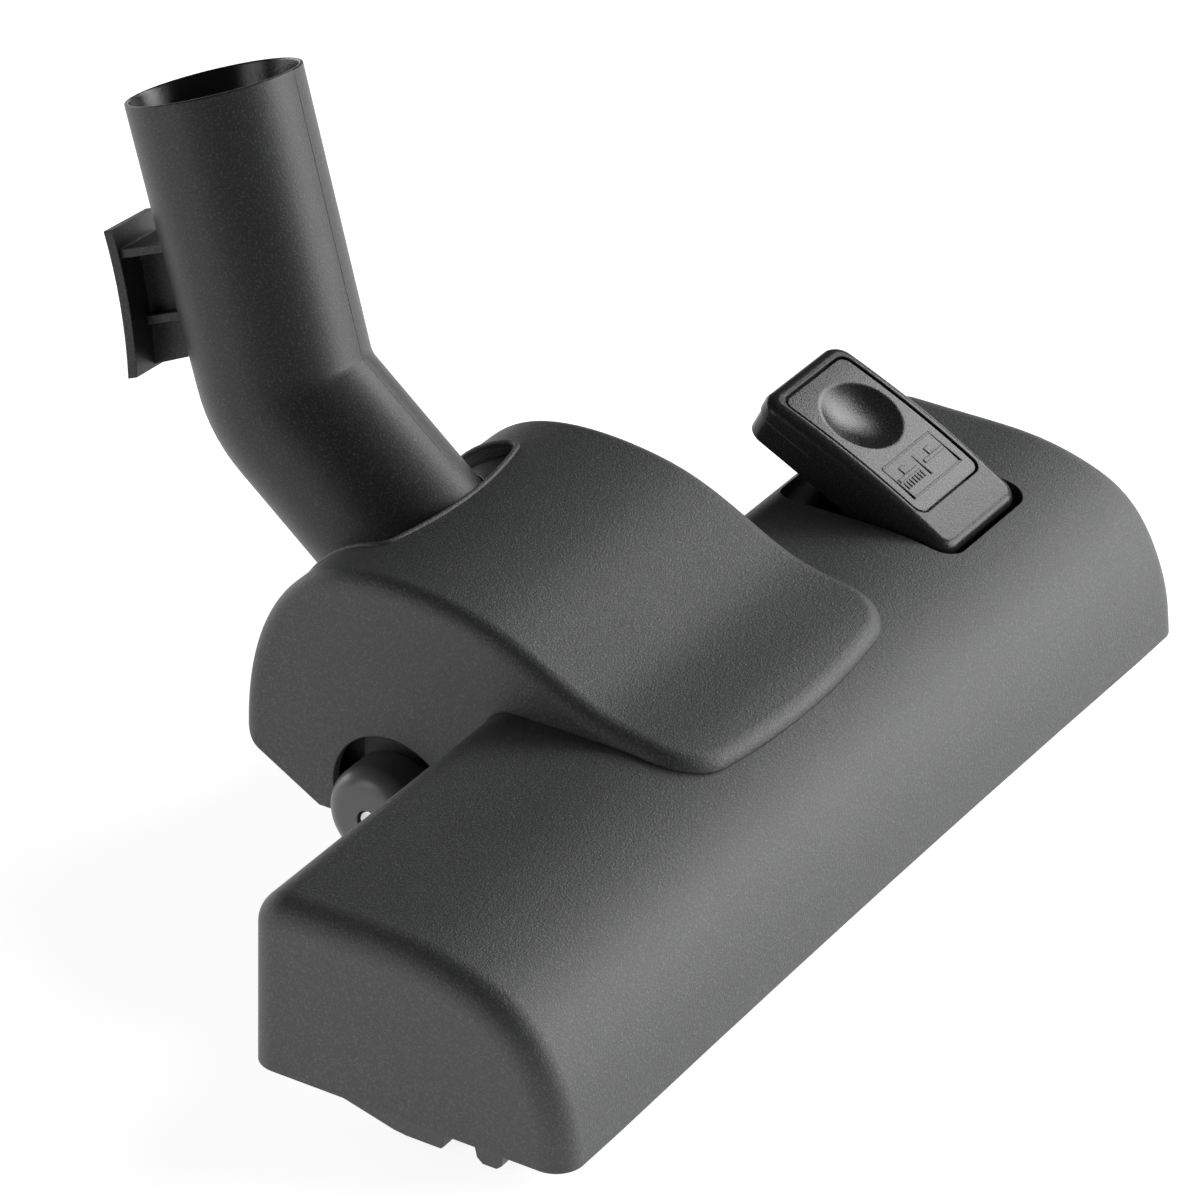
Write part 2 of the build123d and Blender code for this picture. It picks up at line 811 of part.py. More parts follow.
# Elbow tube with its spigot below and the park hook behind
with BuildPart() as elbow_tube:
    with BuildLine(path_plane) as lower_path:
        lower_line = Line((thrust_step + pin_gap, 0), (bend_distance - bend_leg, 0))
        JernArc(start=lower_line @ 1, tangent=lower_line % 1, radius=bend_radius, arc_size=bend_angle)
    with BuildSketch(neck_plane.offset(thrust_step + pin_gap)):
        Circle(tube_radius)
    sweep(path=lower_path.line)
    with BuildSketch(upper_plane.offset(bend_leg)):
        Circle(tube_radius)
    with BuildSketch(upper_plane.offset(upper_length)):
        Circle(mouth_radius)
    loft()
    with BuildSketch(hook_plane):
        with BuildLine():
            hook_face = ThreePointArc(
                (hook_low_reach, hook_low),
                ((hook_low_reach + hook_high_reach) / 2 - hook_bow, (hook_low + hook_high) / 2),
                (hook_high_reach, hook_high),
            )
            hook_back = hook_face.moved(Location((-hook_plate, 0, 0)))
            add(hook_back)
            Line(hook_face @ 1, hook_back @ 1)
            Line(hook_face @ 0, hook_back @ 0)
        make_face()
    extrude(amount=hook_half, both=True)
    with BuildSketch(hook_plane):
        with Locations(((tube_radius - wall + hook_high_reach - 1) / 2, hook_shelf)):
            Rectangle(hook_high_reach - 1 - tube_radius + wall, hook_shelf_thickness)
    extrude(amount=hook_half - 1, both=True)
    with BuildSketch(hook_plane):
        with Locations(((tube_radius + hook_high_reach) / 2 - 2, hook_cross_rib)):
            Rectangle(hook_high_reach - tube_radius, hook_shelf_thickness)
    extrude(amount=hook_cross_half, both=True)
    with BuildSketch(hook_plane):
        with BuildLine():
            Polyline(
                (tube_radius - wall, hook_low + 1.5),
                (hook_low_reach - hook_plate + hook_sink, hook_low + hook_sink),
                (hook_high_reach - hook_plate + hook_sink, hook_shelf),
                (tube_radius - wall, hook_shelf),
                close=True,
            )
        make_face()
    extrude(amount=hook_rib / 2, both=True)
    add(neck_ring(spigot_low, thrust_step + pin_gap, spigot_radius, 0))
    with BuildLine(path_plane) as bore_path:
        bore_line = Line((0, 0), (bend_distance - bend_leg, 0))
        bore_arc = JernArc(
            start=bore_line @ 1,
            tangent=bore_line % 1,
            radius=bend_radius,
            arc_size=bend_angle,
        )
        Line(bore_arc @ 1, bore_arc @ 1 + (bore_arc % 1) * upper_length)
    with BuildSketch(neck_plane):
        Circle(tube_bore_radius)
    sweep(path=bore_path.line, mode=Mode.SUBTRACT)
    with BuildSketch(upper_plane.offset(upper_length)):
        Circle(socket_radius)
    extrude(amount=-socket_depth, mode=Mode.SUBTRACT)
    with BuildSketch(upper_plane.offset(upper_length)):
        Circle(lead_radius)
    with BuildSketch(upper_plane.offset(upper_length - lead_depth)):
        Circle(socket_radius)
    loft(mode=Mode.SUBTRACT)
    for low, high in ((ring_low, ring_low + ring_thickness), (seal_low, seal_low + seal_height)):
        add(neck_ring(low, high, tube_radius, ring_groove_radius), mode=Mode.SUBTRACT)
    fillet(elbow_tube.faces().filter_by(upper_plane).sort_by(Axis.Z)[-1].edges(), rim_round)
elbow_tube.part.label = "elbow_tube"
export_step(elbow_tube.part, "parts/elbow_tube.step")

# Snap ring and seal ring on the spigot of the elbow
with BuildPart() as swivel_ring:
    ring_top = ring_low + ring_thickness - running_gap
    add(neck_ring(ring_low + running_gap, ring_top, ring_radius, ring_groove_radius + running_gap))
    with BuildSketch(neck_plane):
        with Locations((0, ring_radius)):
            Rectangle(8.0, ring_radius)
    extrude(amount=2 * ring_low + ring_thickness, mode=Mode.SUBTRACT)
swivel_ring.part.label = "swivel_ring"
export_step(swivel_ring.part, "parts/swivel_ring.step")
with BuildPart() as swivel_seal:
    seal_top = seal_low + seal_height - running_gap
    add(neck_ring(seal_low + running_gap, seal_top, spigot_radius, ring_groove_radius + running_gap))
swivel_seal.part.label = "swivel_seal"
export_step(swivel_seal.part, "parts/swivel_seal.step")


# Side outline of the neck cover, moved in by the given amount and drawn down below the floor
def cover_section(inset):
    crest = Spline(
        (101.0, head_keel),
        (102.8, 20.0),
        (98.8, 44.0),
        (89.0, 59.8),
        (77.6, 66.8),
        (62.0, 68.6),
        (46.0, 67.4),
        (30.5, 62.6),
        (15.2, 54.8),
        (4.0, 50.6),
        (-7.0, 48.7),
        (-18.6, 45.4),
        (-22.0, 43.9),
        tangents=[(0.1, 1), (-1, -0.47)],
    )
    points = beside(crest, inset)
    with BuildSketch() as section:
        with BuildLine():
            Spline(*points, tangents=[crest % 0, crest % 1])
            Polyline(
                points[-1],
                (points[-1][0], head_keel),
                points[0],
            )
        make_face()
    return section.sketch


# Height of the belly, which runs level and then climbs to the back
def belly_height(y):
    return underside_z + max(y - underside_break_y, 0) * tan(radians(underside_rise))


# Space below the belly, with a rounded heel where it meets the back
def below_belly():
    heel = (heel_y, belly_height(heel_y))
    with BuildPart() as space:
        with BuildSketch(side_plane) as outline:
            with BuildLine():
                Polyline(
                    (-beyond, head_keel - 1),
                    (-beyond, underside_z),
                    (underside_break_y, underside_z),
                    heel,
                    (heel_y, tilt_z),
                    (beyond, tilt_z),
                    (beyond, head_keel - 1),
                    close=True,
                )
            make_face()
            fillet(outline.vertices().sort_by_distance((heel[0], heel[1], 0))[0], heel_round)
        extrude(amount=beyond, both=True)
    return space.part


# Neck cover: shell with cheeks, neck slot, tongue and wheel arches
cover_outer = cover_section(0)
cover_inner = cover_section(cover_wall)
belly_space = below_belly()
with BuildPart() as cover_form:
    with BuildSketch(side_plane):
        add(cover_outer)
    extrude(amount=cover_half, both=True)
    with BuildSketch(Plane.XY.offset(head_keel)) as cover_plan:
        with BuildLine():
            ThreePointArc((-cover_half, tongue_side_y), (0, tongue_tip_y), (cover_half, tongue_side_y))
            Polyline(
                (cover_half, tongue_side_y),
                (cover_half, beyond),
                (-cover_half, beyond),
                (-cover_half, tongue_side_y),
            )
        make_face()
        fillet(cover_plan.vertices().group_by(Axis.Y)[0], tongue_corner)
    extrude(amount=beyond, mode=Mode.INTERSECT)
    curved_faces = cover_form.faces().filter_by(lambda f: f.geom_type != GeomType.PLANE)
    top_face = curved_faces.sort_by(SortBy.AREA)[-1]
    fillet(top_face.edges().filter_by(lambda e: e.center().Z > 0), cover_round)
with BuildPart() as neck_cover:
    add(cover_form.part)
    with BuildSketch(side_plane):
        add(cover_inner)
        with Locations((hollow_front + beyond / 2, 0)):
            Rectangle(beyond, 2 * beyond, mode=Mode.INTERSECT)
    extrude(amount=cover_half - cover_wall, both=True, mode=Mode.SUBTRACT)
    for side in (-1, 1):
        with BuildSketch(Plane.YZ.offset(side * neck_slot_half)):
            with Locations(((cheek_front + cheek_back) / 2, tilt_z + seat_gap + beyond / 2)):
                Rectangle(cheek_back - cheek_front, beyond)
        extrude(amount=side * cheek_wall)
    with BuildSketch(Plane.XY.offset(cover_boss_low)):
        with Locations(*cover_screw_spots):
            Circle(cover_boss_radius)
    extrude(amount=beyond)
    add(cover_form.part, mode=Mode.INTERSECT)
    with BuildSketch(Plane.XY.offset(head_keel)) as slot_plan:
        with BuildLine():
            ThreePointArc(
                (-neck_slot_half, neck_slot_side),
                (0, neck_slot_front),
                (neck_slot_half, neck_slot_side),
            )
            Polyline(
                (neck_slot_half, neck_slot_side),
                (neck_slot_half, beyond),
                (-neck_slot_half, beyond),
                (-neck_slot_half, neck_slot_side),
            )
        make_face()
        fillet(slot_plan.vertices().group_by(Axis.Y)[0], neck_slot_corner)
    extrude(amount=beyond, mode=Mode.SUBTRACT)
    with BuildSketch(side_plane):
        with Locations((tilt_y, tilt_z)):
            Circle(drum_radius + free_gap)
    extrude(amount=neck_slot_half, both=True, mode=Mode.SUBTRACT)
    with BuildSketch(side_plane):
        with Locations((tilt_y, tilt_z)):
            Circle(trunnion_radius + running_gap)
    extrude(amount=cover_half - cover_wall - 1, both=True, mode=Mode.SUBTRACT)
    with BuildSketch(side_plane):
        with Locations((arch_y, arch_z)):
            Circle(arch_radius)
    extrude(amount=beyond, both=True, mode=Mode.SUBTRACT)
    add(neck_ring(0, 2 * drum_radius, tube_radius + free_gap, 0), mode=Mode.SUBTRACT)
    add(belly_space, mode=Mode.SUBTRACT)
    add(envelope, mode=Mode.SUBTRACT)
    with BuildSketch(Plane.XY.offset(cover_boss_low)):
        with Locations(*cover_screw_spots):
            Circle(screw_radius + running_gap)
    extrude(amount=screw_length, mode=Mode.SUBTRACT)
neck_cover.part.label = "neck_cover"
export_step(neck_cover.part, "parts/neck_cover.step")

# Rear housing: floor, trough under the drum, side walls, flange, wheel brackets
inner_back = housing_back - wall
with BuildPart() as rear_housing:
    with BuildSketch(side_plane):
        with BuildLine():
            Polyline(
                (housing_front, underside_z),
                (underside_break_y, underside_z),
                (housing_back, belly_height(housing_back)),
                (housing_back, housing_back_high),
                (inner_back, housing_back_high),
                (inner_back, belly_height(inner_back) + wall / cos(radians(underside_rise))),
                (underside_break_y - wall * tan(radians(underside_rise / 2)), underside_z + wall),
                (housing_front, underside_z + wall),
                close=True,
            )
        make_face()
    extrude(amount=housing_half, both=True)
    with BuildSketch(side_plane):
        with Locations((tilt_y, tilt_z)):
            Circle(trough_radius + wall)
            Circle(trough_radius, mode=Mode.SUBTRACT)
        with Locations((tilt_y, duct_floor + duct_wall - beyond / 2)):
            Rectangle(beyond, beyond, mode=Mode.INTERSECT)
        with Locations((tilt_y + drum_radius, housing_back_high + wall)):
            Rectangle(2 * drum_radius, 2 * wall, mode=Mode.SUBTRACT)
    extrude(amount=neck_slot_half + cheek_wall, both=True)
    for side in (-1, 1):
        with BuildSketch(Plane.YZ.offset(side * neck_slot_half)):
            with BuildLine():
                Polyline(
                    (housing_front, underside_z),
                    (underside_break_y, underside_z),
                    (housing_back, belly_height(housing_back)),
                    (housing_back, side_wall_high),
                    (housing_back - 1.7, tilt_z - seat_gap),
                    (housing_front, tilt_z - seat_gap),
                    close=True,
                )
            make_face()
        extrude(amount=side * cheek_wall)
        with BuildSketch(Plane.YZ.offset(side * (housing_half - wall))):
            with Locations((wheel_y, (underside_z + bracket_top) / 2)):
                Rectangle(bracket_width, bracket_top - underside_z)
        extrude(amount=side * wall)
        with BuildSketch(Plane.YZ.offset(side * (axle_inner - seat_gap))):
            with Locations((wheel_y, wheel_z)):
                Circle(axle_boss_radius)
        extrude(amount=side * (wheel_outer - wheel_width - axle_inner - small_round))
    for low in (duct_floor, duct_roof - duct_wall):
        with BuildSketch(Plane.XY.offset(low)):
            with Locations((0, housing_front + front_block_length / 2)):
                Rectangle(2 * (neck_slot_half + cheek_wall), front_block_length)
        extrude(amount=duct_wall)
    with BuildSketch(Plane.XZ.offset(-housing_front)):
        with Locations((0, (underside_z + flange_top) / 2)):
            Rectangle(2 * housing_half, flange_top - underside_z)
        with Locations((0, (duct_floor + duct_roof) / 2)):
            Rectangle(
                2 * (duct_half - duct_wall),
                duct_roof - duct_floor - 2 * duct_wall,
                mode=Mode.SUBTRACT,
            )
    extrude(amount=-flange_thickness)
    with BuildSketch(Plane.XY.offset(underside_z)):
        with Locations(*cover_screw_spots):
            Circle(cover_boss_radius + free_gap)
    extrude(amount=cover_boss_low - seat_gap - underside_z)
    with BuildSketch(side_plane):
        with Locations((tilt_y, tilt_z)):
            Circle(trough_radius)
    extrude(amount=neck_slot_half, both=True, mode=Mode.SUBTRACT)
    with BuildSketch(side_plane):
        with Locations((tilt_y, tilt_z)):
            Circle(trunnion_radius + running_gap)
    extrude(amount=housing_half, both=True, mode=Mode.SUBTRACT)
    for side in (-1, 1):
        with BuildSketch(Plane.YZ.offset(side * axle_inner)):
            with Locations((wheel_y, wheel_z)):
                Circle(axle_radius)
        extrude(amount=side * beyond, mode=Mode.SUBTRACT)
    add(belly_space, mode=Mode.SUBTRACT)
    with BuildSketch(Plane.XY.offset(head_keel)):
        with Locations(*cover_screw_spots):
            Circle(screw_head_radius + free_gap)
    extrude(amount=cover_screw_seat - head_keel, mode=Mode.SUBTRACT)
    with BuildSketch(Plane.XY.offset(head_keel)):
        with Locations(*cover_screw_spots):
            Circle(screw_radius + seat_gap)
    extrude(amount=cover_boss_low - head_keel + 1, mode=Mode.SUBTRACT)
    with BuildSketch(side_plane):
        with Locations((seal_y, seal_z)):
            Rectangle(seal_width, seal_thickness)
    extrude(amount=duct_half - duct_wall, both=True, mode=Mode.SUBTRACT)
    add(envelope, mode=Mode.SUBTRACT)
rear_housing.part.label = "rear_housing"
export_step(rear_housing.part, "parts/rear_housing.step")

# Lip seal above the duct, close to the drum
with BuildPart() as drum_seal:
    with BuildSketch(side_plane):
        with Locations((seal_y, seal_z)):
            Rectangle(seal_width, seal_thickness)
        with Locations((tilt_y, tilt_z)):
            Circle(drum_radius + pin_gap, mode=Mode.SUBTRACT)
    extrude(amount=duct_half - duct_wall, both=True)
drum_seal.part.label = "drum_seal"
export_step(drum_seal.part, "parts/drum_seal.step")


# Wheel on one side
def wheel(side):
    with BuildPart() as body:
        with BuildSketch(Plane.YZ.offset(side * wheel_outer)):
            with Locations((wheel_y, wheel_z)):
                Circle(wheel_radius)
        extrude(amount=-side * wheel_width)
        rims = body.edges().filter_by(GeomType.CIRCLE).sort_by(Axis.X)
        outer_rim, inner_rim = (rims[-1], rims[0]) if side > 0 else (rims[0], rims[-1])
        fillet(outer_rim, wheel_round)
        fillet(inner_rim, wheel_inner_round)
        with BuildSketch(Plane.YZ.offset(side * wheel_outer)):
            with Locations((wheel_y, wheel_z)):
                Circle(axle_radius + running_gap)
        extrude(amount=-side * wheel_width, mode=Mode.SUBTRACT)
        with BuildSketch(Plane.YZ.offset(side * wheel_outer)):
            with Locations((wheel_y, wheel_z)):
                Circle(hub_hole_radius)
        extrude(amount=-side * (axle_recess + axle_head_length + pin_gap), mode=Mode.SUBTRACT)
    return body


# Headed axle pin on one side
def axle(side):
    with BuildPart() as pin:
        with BuildSketch(Plane.YZ.offset(side * axle_inner)):
            with Locations((wheel_y, wheel_z)):
                Circle(axle_radius)
        extrude(amount=side * (wheel_outer - axle_recess - axle_inner))
        with BuildSketch(Plane.YZ.offset(side * (wheel_outer - axle_recess))):
            with Locations((wheel_y, wheel_z)):
                Circle(axle_head_radius)
        extrude(amount=-side * axle_head_length)
        ends = pin.edges().filter_by(GeomType.CIRCLE).sort_by(Axis.X)
        fillet(ends[-1] if side > 0 else ends[0], small_round)
    return pin


left_wheel = wheel(-1)
left_wheel.part.label = "left_wheel"
export_step(left_wheel.part, "parts/left_wheel.step")
right_wheel = wheel(1)
right_wheel.part.label = "right_wheel"
export_step(right_wheel.part, "parts/right_wheel.step")
left_axle = axle(-1)
left_axle.part.label = "left_axle"
export_step(left_axle.part, "parts/left_axle.step")
right_axle = axle(1)
right_axle.part.label = "right_axle"
export_step(right_axle.part, "parts/right_axle.step")


# Upright screws driven from below, with cross recesses
def screws(spots, seat):
    with BuildPart() as group:
        with BuildSketch(Plane.XY.offset(seat - screw_head_height)):
            with Locations(*spots):
                Circle(screw_head_radius)
        extrude(amount=screw_head_height)
        with BuildSketch(Plane.XY.offset(seat)):
            with Locations(*spots):
                Circle(screw_radius)
        extrude(amount=screw_length - 1)
        with BuildSketch(Plane.XY.offset(seat - screw_head_height)):
            with Locations(*spots):
                Rectangle(screw_slot_length, screw_slot_width)
                Rectangle(screw_slot_width, screw_slot_length)
        extrude(amount=screw_slot_depth, mode=Mode.SUBTRACT)
    return group


sole_screws = screws(sole_screw_spots, sole_screw_seat)
sole_screws.part.label = "sole_screws"
export_step(sole_screws.part, "parts/sole_screws.step")
cover_screws = screws(cover_screw_spots, cover_screw_seat)
cover_screws.part.label = "cover_screws"
export_step(cover_screws.part, "parts/cover_screws.step")
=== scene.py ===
"""Looks of a vacuum floor brush head, dressed on its packed construction model."""

import logging
import math
import random
from dataclasses import dataclass, field
from enum import Enum
from typing import ClassVar

import bmesh
import bpy
from mathutils import Matrix, Vector
from mathutils.bvhtree import BVHTree


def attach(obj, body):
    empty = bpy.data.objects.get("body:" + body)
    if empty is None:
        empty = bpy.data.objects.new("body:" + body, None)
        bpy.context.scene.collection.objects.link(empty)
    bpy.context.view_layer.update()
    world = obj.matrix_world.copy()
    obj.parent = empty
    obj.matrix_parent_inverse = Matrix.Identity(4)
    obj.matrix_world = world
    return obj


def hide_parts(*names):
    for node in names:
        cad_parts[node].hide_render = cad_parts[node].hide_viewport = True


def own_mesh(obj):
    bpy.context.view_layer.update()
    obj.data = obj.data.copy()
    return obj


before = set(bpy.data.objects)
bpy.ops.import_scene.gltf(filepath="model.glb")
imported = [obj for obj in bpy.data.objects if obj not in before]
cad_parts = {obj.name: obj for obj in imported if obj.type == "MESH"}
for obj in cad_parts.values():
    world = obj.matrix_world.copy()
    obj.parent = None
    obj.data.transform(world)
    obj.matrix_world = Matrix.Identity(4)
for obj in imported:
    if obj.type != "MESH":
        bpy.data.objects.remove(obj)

log = logging.getLogger("floor_head")
MM = 0.001
UP = Vector((0.0, 0.0, 1.0))
Pair = tuple[float, float]
Triple = tuple[float, float, float]
Colour = Triple
Paint = tuple[float, float, float, float]
WHITE: Paint = (1.0, 1.0, 1.0, 1.0)


class Body(Enum):
    """Names of the bodies that new pieces ride on."""

    BASE = "base"
    PEDAL = "pedal"
    CARRIER = "carrier"
    ELBOW = "elbow"


class Side(Enum):
    """Left or right half of the head, as a sign along its length."""

    LEFT = -1
    RIGHT = 1


def opaque(colour: Colour, gain: float = 1.0, lift: float = 0.0) -> Paint:
    """Returns a colour with full alpha, after a gain and a lift, no brighter than white."""
    return (*(min(1.0, part * gain + lift) for part in colour), 1.0)


def placed(x: Vector, y: Vector, z: Vector, origin: Vector) -> Matrix:
    """Makes the matrix that has these axes and this origin.

    Args:
        x: Direction of the x axis.
        y: Direction of the y axis.
        z: Direction of the z axis.
        origin: Where the axes start.

    Returns:
        The matrix.
    """
    made = Matrix((x, y, z)).transposed().to_4x4()
    made.translation = origin
    return made


def aimed(way: Vector) -> Matrix:
    """Returns the turn that points the z axis along a way."""
    return UP.rotation_difference(way.normalized()).to_matrix().to_4x4()


def add_fibre(bm: bmesh.types.BMesh, foot: Vector, tip: Vector, radii: Pair, sides: int) -> None:
    """Adds one tapered fibre to a mesh.

    Args:
        bm: The mesh.
        foot: Middle of its thick end.
        tip: Middle of its thin end.
        radii: Radius of the thick end and of the thin end.
        sides: Number of its sides.
    """
    bmesh.ops.create_cone(
        bm, cap_ends=True, segments=sides, radius1=radii[0], radius2=radii[1], depth=(tip - foot).length,
        matrix=Matrix.Translation((foot + tip) / 2) @ aimed(tip - foot),
    )


class Wires:
    """Adds shader nodes to one tree and joins them."""

    # Socket numbers of a Mix node that mixes colours.
    MIX_FACTOR, MIX_FIRST, MIX_SECOND = 0, 6, 7
    MIX_RESULT = 2

    def __init__(self, tree: bpy.types.NodeTree) -> None:
        """Keeps the tree.

        Args:
            tree: The node tree of a material or of a group.
        """
        self.tree = tree

    def node(self, kind: str, **settings: object) -> bpy.types.Node:
        """Adds one node.

        Args:
            kind: Blender's name of the node type.
            settings: Properties set on the node.

        Returns:
            The new node.
        """
        made = self.tree.nodes.new(kind)
        for key, value in settings.items():
            setattr(made, key, value)
        return made

    def put(self, source: object, target: bpy.types.NodeSocket) -> None:
        """Links a socket, or sets a plain value.

        Args:
            source: An output socket or a value.
            target: The input socket that takes it.
        """
        if isinstance(source, bpy.types.NodeSocket):
            self.tree.links.new(source, target)
        else:
            target.default_value = source

    def math(
        self, operation: str, first: object, second: object, clamp: bool = False,
    ) -> bpy.types.NodeSocket:
        """Adds a math node.

        Args:
            operation: Name of the operation.
            first: First operand, a socket or a number.
            second: Second operand, a socket or a number.
            clamp: Whether the result is held between 0 and 1.

        Returns:
            The value socket.
        """
        made = self.node("ShaderNodeMath", operation=operation, use_clamp=clamp)
        self.put(first, made.inputs[0])
        self.put(second, made.inputs[1])
        return made.outputs[0]

    def ramp(
        self, value: object, low: object, high: object, start: object = 0.0, end: object = 1.0,
    ) -> bpy.types.NodeSocket:
        """Maps a range smoothly onto another.

        Args:
            value: The socket to map.
            low: Value that gives the start.
            high: Value that gives the end.
            start: Result at the low value.
            end: Result at the high value.

        Returns:
            The mapped socket.
        """
        made = self.node("ShaderNodeMapRange", interpolation_type="SMOOTHSTEP")
        names = ("Value", "From Min", "From Max", "To Min", "To Max")
        for source, name in zip((value, low, high, start, end), names):
            self.put(source, made.inputs[name])
        return made.outputs["Result"]

    def blend(self, factor: object, first: object, second: object) -> bpy.types.NodeSocket:
        """Mixes two colours.

        Args:
            factor: Share of the second colour.
            first: First colour, a socket or four numbers.
            second: Second colour, a socket or four numbers.

        Returns:
            The colour socket.
        """
        made = self.node("ShaderNodeMix", data_type="RGBA")
        self.put(factor, made.inputs[self.MIX_FACTOR])
        self.put(first, made.inputs[self.MIX_FIRST])
        self.put(second, made.inputs[self.MIX_SECOND])
        return made.outputs[self.MIX_RESULT]

    def noise(
        self, place: object, scale: object, detail: float, roughness: float,
    ) -> bpy.types.NodeSocket:
        """Adds a noise texture.

        Args:
            place: Coordinate socket.
            scale: Scale per metre.
            detail: Number of octaves.
            roughness: Weight of the finer octaves.

        Returns:
            The factor socket.
        """
        made = self.node("ShaderNodeTexNoise")
        self.put(place, made.inputs["Vector"])
        self.put(scale, made.inputs["Scale"])
        self.put(detail, made.inputs["Detail"])
        self.put(roughness, made.inputs["Roughness"])
        return made.outputs[0]

    def object_place(self) -> bpy.types.NodeSocket:
        """Returns the object coordinate socket."""
        return self.node("ShaderNodeTexCoord").outputs["Object"]


@dataclass(frozen=True)
class SharedEffects:
    """Shader node groups that several finishes place with their own values."""

    grain: bpy.types.NodeTree
    rub: bpy.types.NodeTree
    dust: bpy.types.NodeTree

    # Scales of the patterns are per metre, and shares are parts of 1.
    fine_share: ClassVar[float] = 0.7
    pit_share: ClassVar[float] = 0.3
    pit_scale: ClassVar[float] = 0.43
    drift_scale: ClassVar[float] = 28.0
    patch_scale: ClassVar[float] = 260.0
    speck_scale: ClassVar[float] = 1300.0
    veil_scale: ClassVar[float] = 55.0

    @staticmethod
    def _group(
        name: str, inputs: dict[str, float], outputs: tuple[str, ...],
    ) -> tuple[Wires, bpy.types.Node, bpy.types.Node]:
        """Starts a node group with number sockets.

        Args:
            name: Name of the group.
            inputs: Input names with their defaults.
            outputs: Output names.

        Returns:
            The wires, the input node and the output node.
        """
        tree = bpy.data.node_groups.new(name, "ShaderNodeTree")
        for key, value in inputs.items():
            made = tree.interface.new_socket(key, in_out="INPUT", socket_type="NodeSocketFloat")
            made.default_value = value
        for key in outputs:
            tree.interface.new_socket(key, in_out="OUTPUT", socket_type="NodeSocketFloat")
        wires = Wires(tree)
        return wires, wires.node("NodeGroupInput"), wires.node("NodeGroupOutput")

    @classmethod
    def _moulded_grain(cls) -> bpy.types.NodeTree:
        """Builds the grain of a mould: its height, the flecks of light on it and a slow drift of tone.

        Returns:
            The group.
        """
        w, start, end = cls._group(
            "moulded_grain", {"Scale": 2000.0, "Fleck Low": 0.5, "Fleck High": 0.68},
            ("Height", "Fleck", "Drift"),
        )
        place = w.object_place()
        fine = w.noise(place, start.outputs["Scale"], detail=3.0, roughness=0.62)
        pit_scale = w.math("MULTIPLY", start.outputs["Scale"], cls.pit_scale)
        pits = w.noise(place, pit_scale, detail=2.0, roughness=0.5)
        height = w.math(
            "ADD", w.math("MULTIPLY", fine, cls.fine_share), w.math("MULTIPLY", pits, cls.pit_share),
        )
        w.put(height, end.inputs["Height"])
        w.put(w.ramp(fine, start.outputs["Fleck Low"], start.outputs["Fleck High"]), end.inputs["Fleck"])
        w.put(w.noise(place, cls.drift_scale, detail=3.0, roughness=0.5), end.inputs["Drift"])
        return w.tree

    @classmethod
    def _edge_rub(cls) -> bpy.types.NodeTree:
        """Builds the mask of edges that are rubbed in patches.

        Returns:
            The group.
        """
        w, start, end = cls._group("edge_rub", {"Reach": 0.0008, "Strength": 3.0}, ("Mask",))
        soft = w.node("ShaderNodeBevel", samples=4)
        w.put(start.outputs["Reach"], soft.inputs["Radius"])
        plain = w.node("ShaderNodeNewGeometry").outputs["Normal"]
        turn = w.node("ShaderNodeVectorMath", operation="DOT_PRODUCT")
        w.put(soft.outputs[0], turn.inputs[0])
        w.put(plain, turn.inputs[1])
        lost = w.math("SUBTRACT", 1.0, turn.outputs["Value"])
        patches = w.noise(w.object_place(), cls.patch_scale, detail=3.0, roughness=0.6)
        patchy = w.ramp(patches, low=0.35, high=0.65, start=0.35, end=1.0)
        rubbed = w.math("MULTIPLY", lost, start.outputs["Strength"])
        w.put(w.math("MULTIPLY", rubbed, patchy, clamp=True), end.inputs["Mask"])
        return w.tree

    @classmethod
    def _settled_dust(cls) -> bpy.types.NodeTree:
        """Builds the mask of dust specks that lie on faces turned up.

        Returns:
            The group.
        """
        w, start, end = cls._group("settled_dust", {"Amount": 0.15}, ("Mask",))
        normal = w.node("ShaderNodeSeparateXYZ")
        w.put(w.node("ShaderNodeNewGeometry").outputs["Normal"], normal.inputs[0])
        up = w.ramp(normal.outputs["Z"], low=0.1, high=0.95)
        specks = w.noise(w.object_place(), cls.speck_scale, detail=2.0, roughness=0.7)
        specks = w.ramp(specks, low=0.62, high=0.78)
        veil = w.noise(w.object_place(), cls.veil_scale, detail=4.0, roughness=0.6)
        veil = w.ramp(veil, low=0.3, high=0.75, start=0.25, end=1.0)
        lying = w.math("MULTIPLY", up, w.math("MULTIPLY", specks, veil))
        w.put(w.math("MULTIPLY", lying, start.outputs["Amount"], clamp=True), end.inputs["Mask"])
        return w.tree

    @classmethod
    def build(cls) -> "SharedEffects":
        """Returns the three groups, ready to be placed."""
        return cls(cls._moulded_grain(), cls._edge_rub(), cls._settled_dust())

    @staticmethod
    def place(wires: Wires, tree: bpy.types.NodeTree, **values: object) -> bpy.types.Node:
        """Places a group in a material.

        Args:
            wires: The material's wires.
            tree: The group.
            values: Input values, with spaces written as underscores.

        Returns:
            The group node.
        """
        made = wires.node("ShaderNodeGroup", node_tree=tree)
        for key, value in values.items():
            wires.put(value, made.inputs[key.replace("_", " ").title()])
        return made


def start_material(name: str) -> tuple[bpy.types.Material, Wires, bpy.types.Node]:
    """Makes a material with an empty Principled shader.

    Args:
        name: Name of the material.

    Returns:
        The material, its wires and its shader.
    """
    made = bpy.data.materials.new(name)
    made.use_nodes = True
    shader = made.node_tree.nodes["Principled BSDF"]
    return made, Wires(made.node_tree), shader


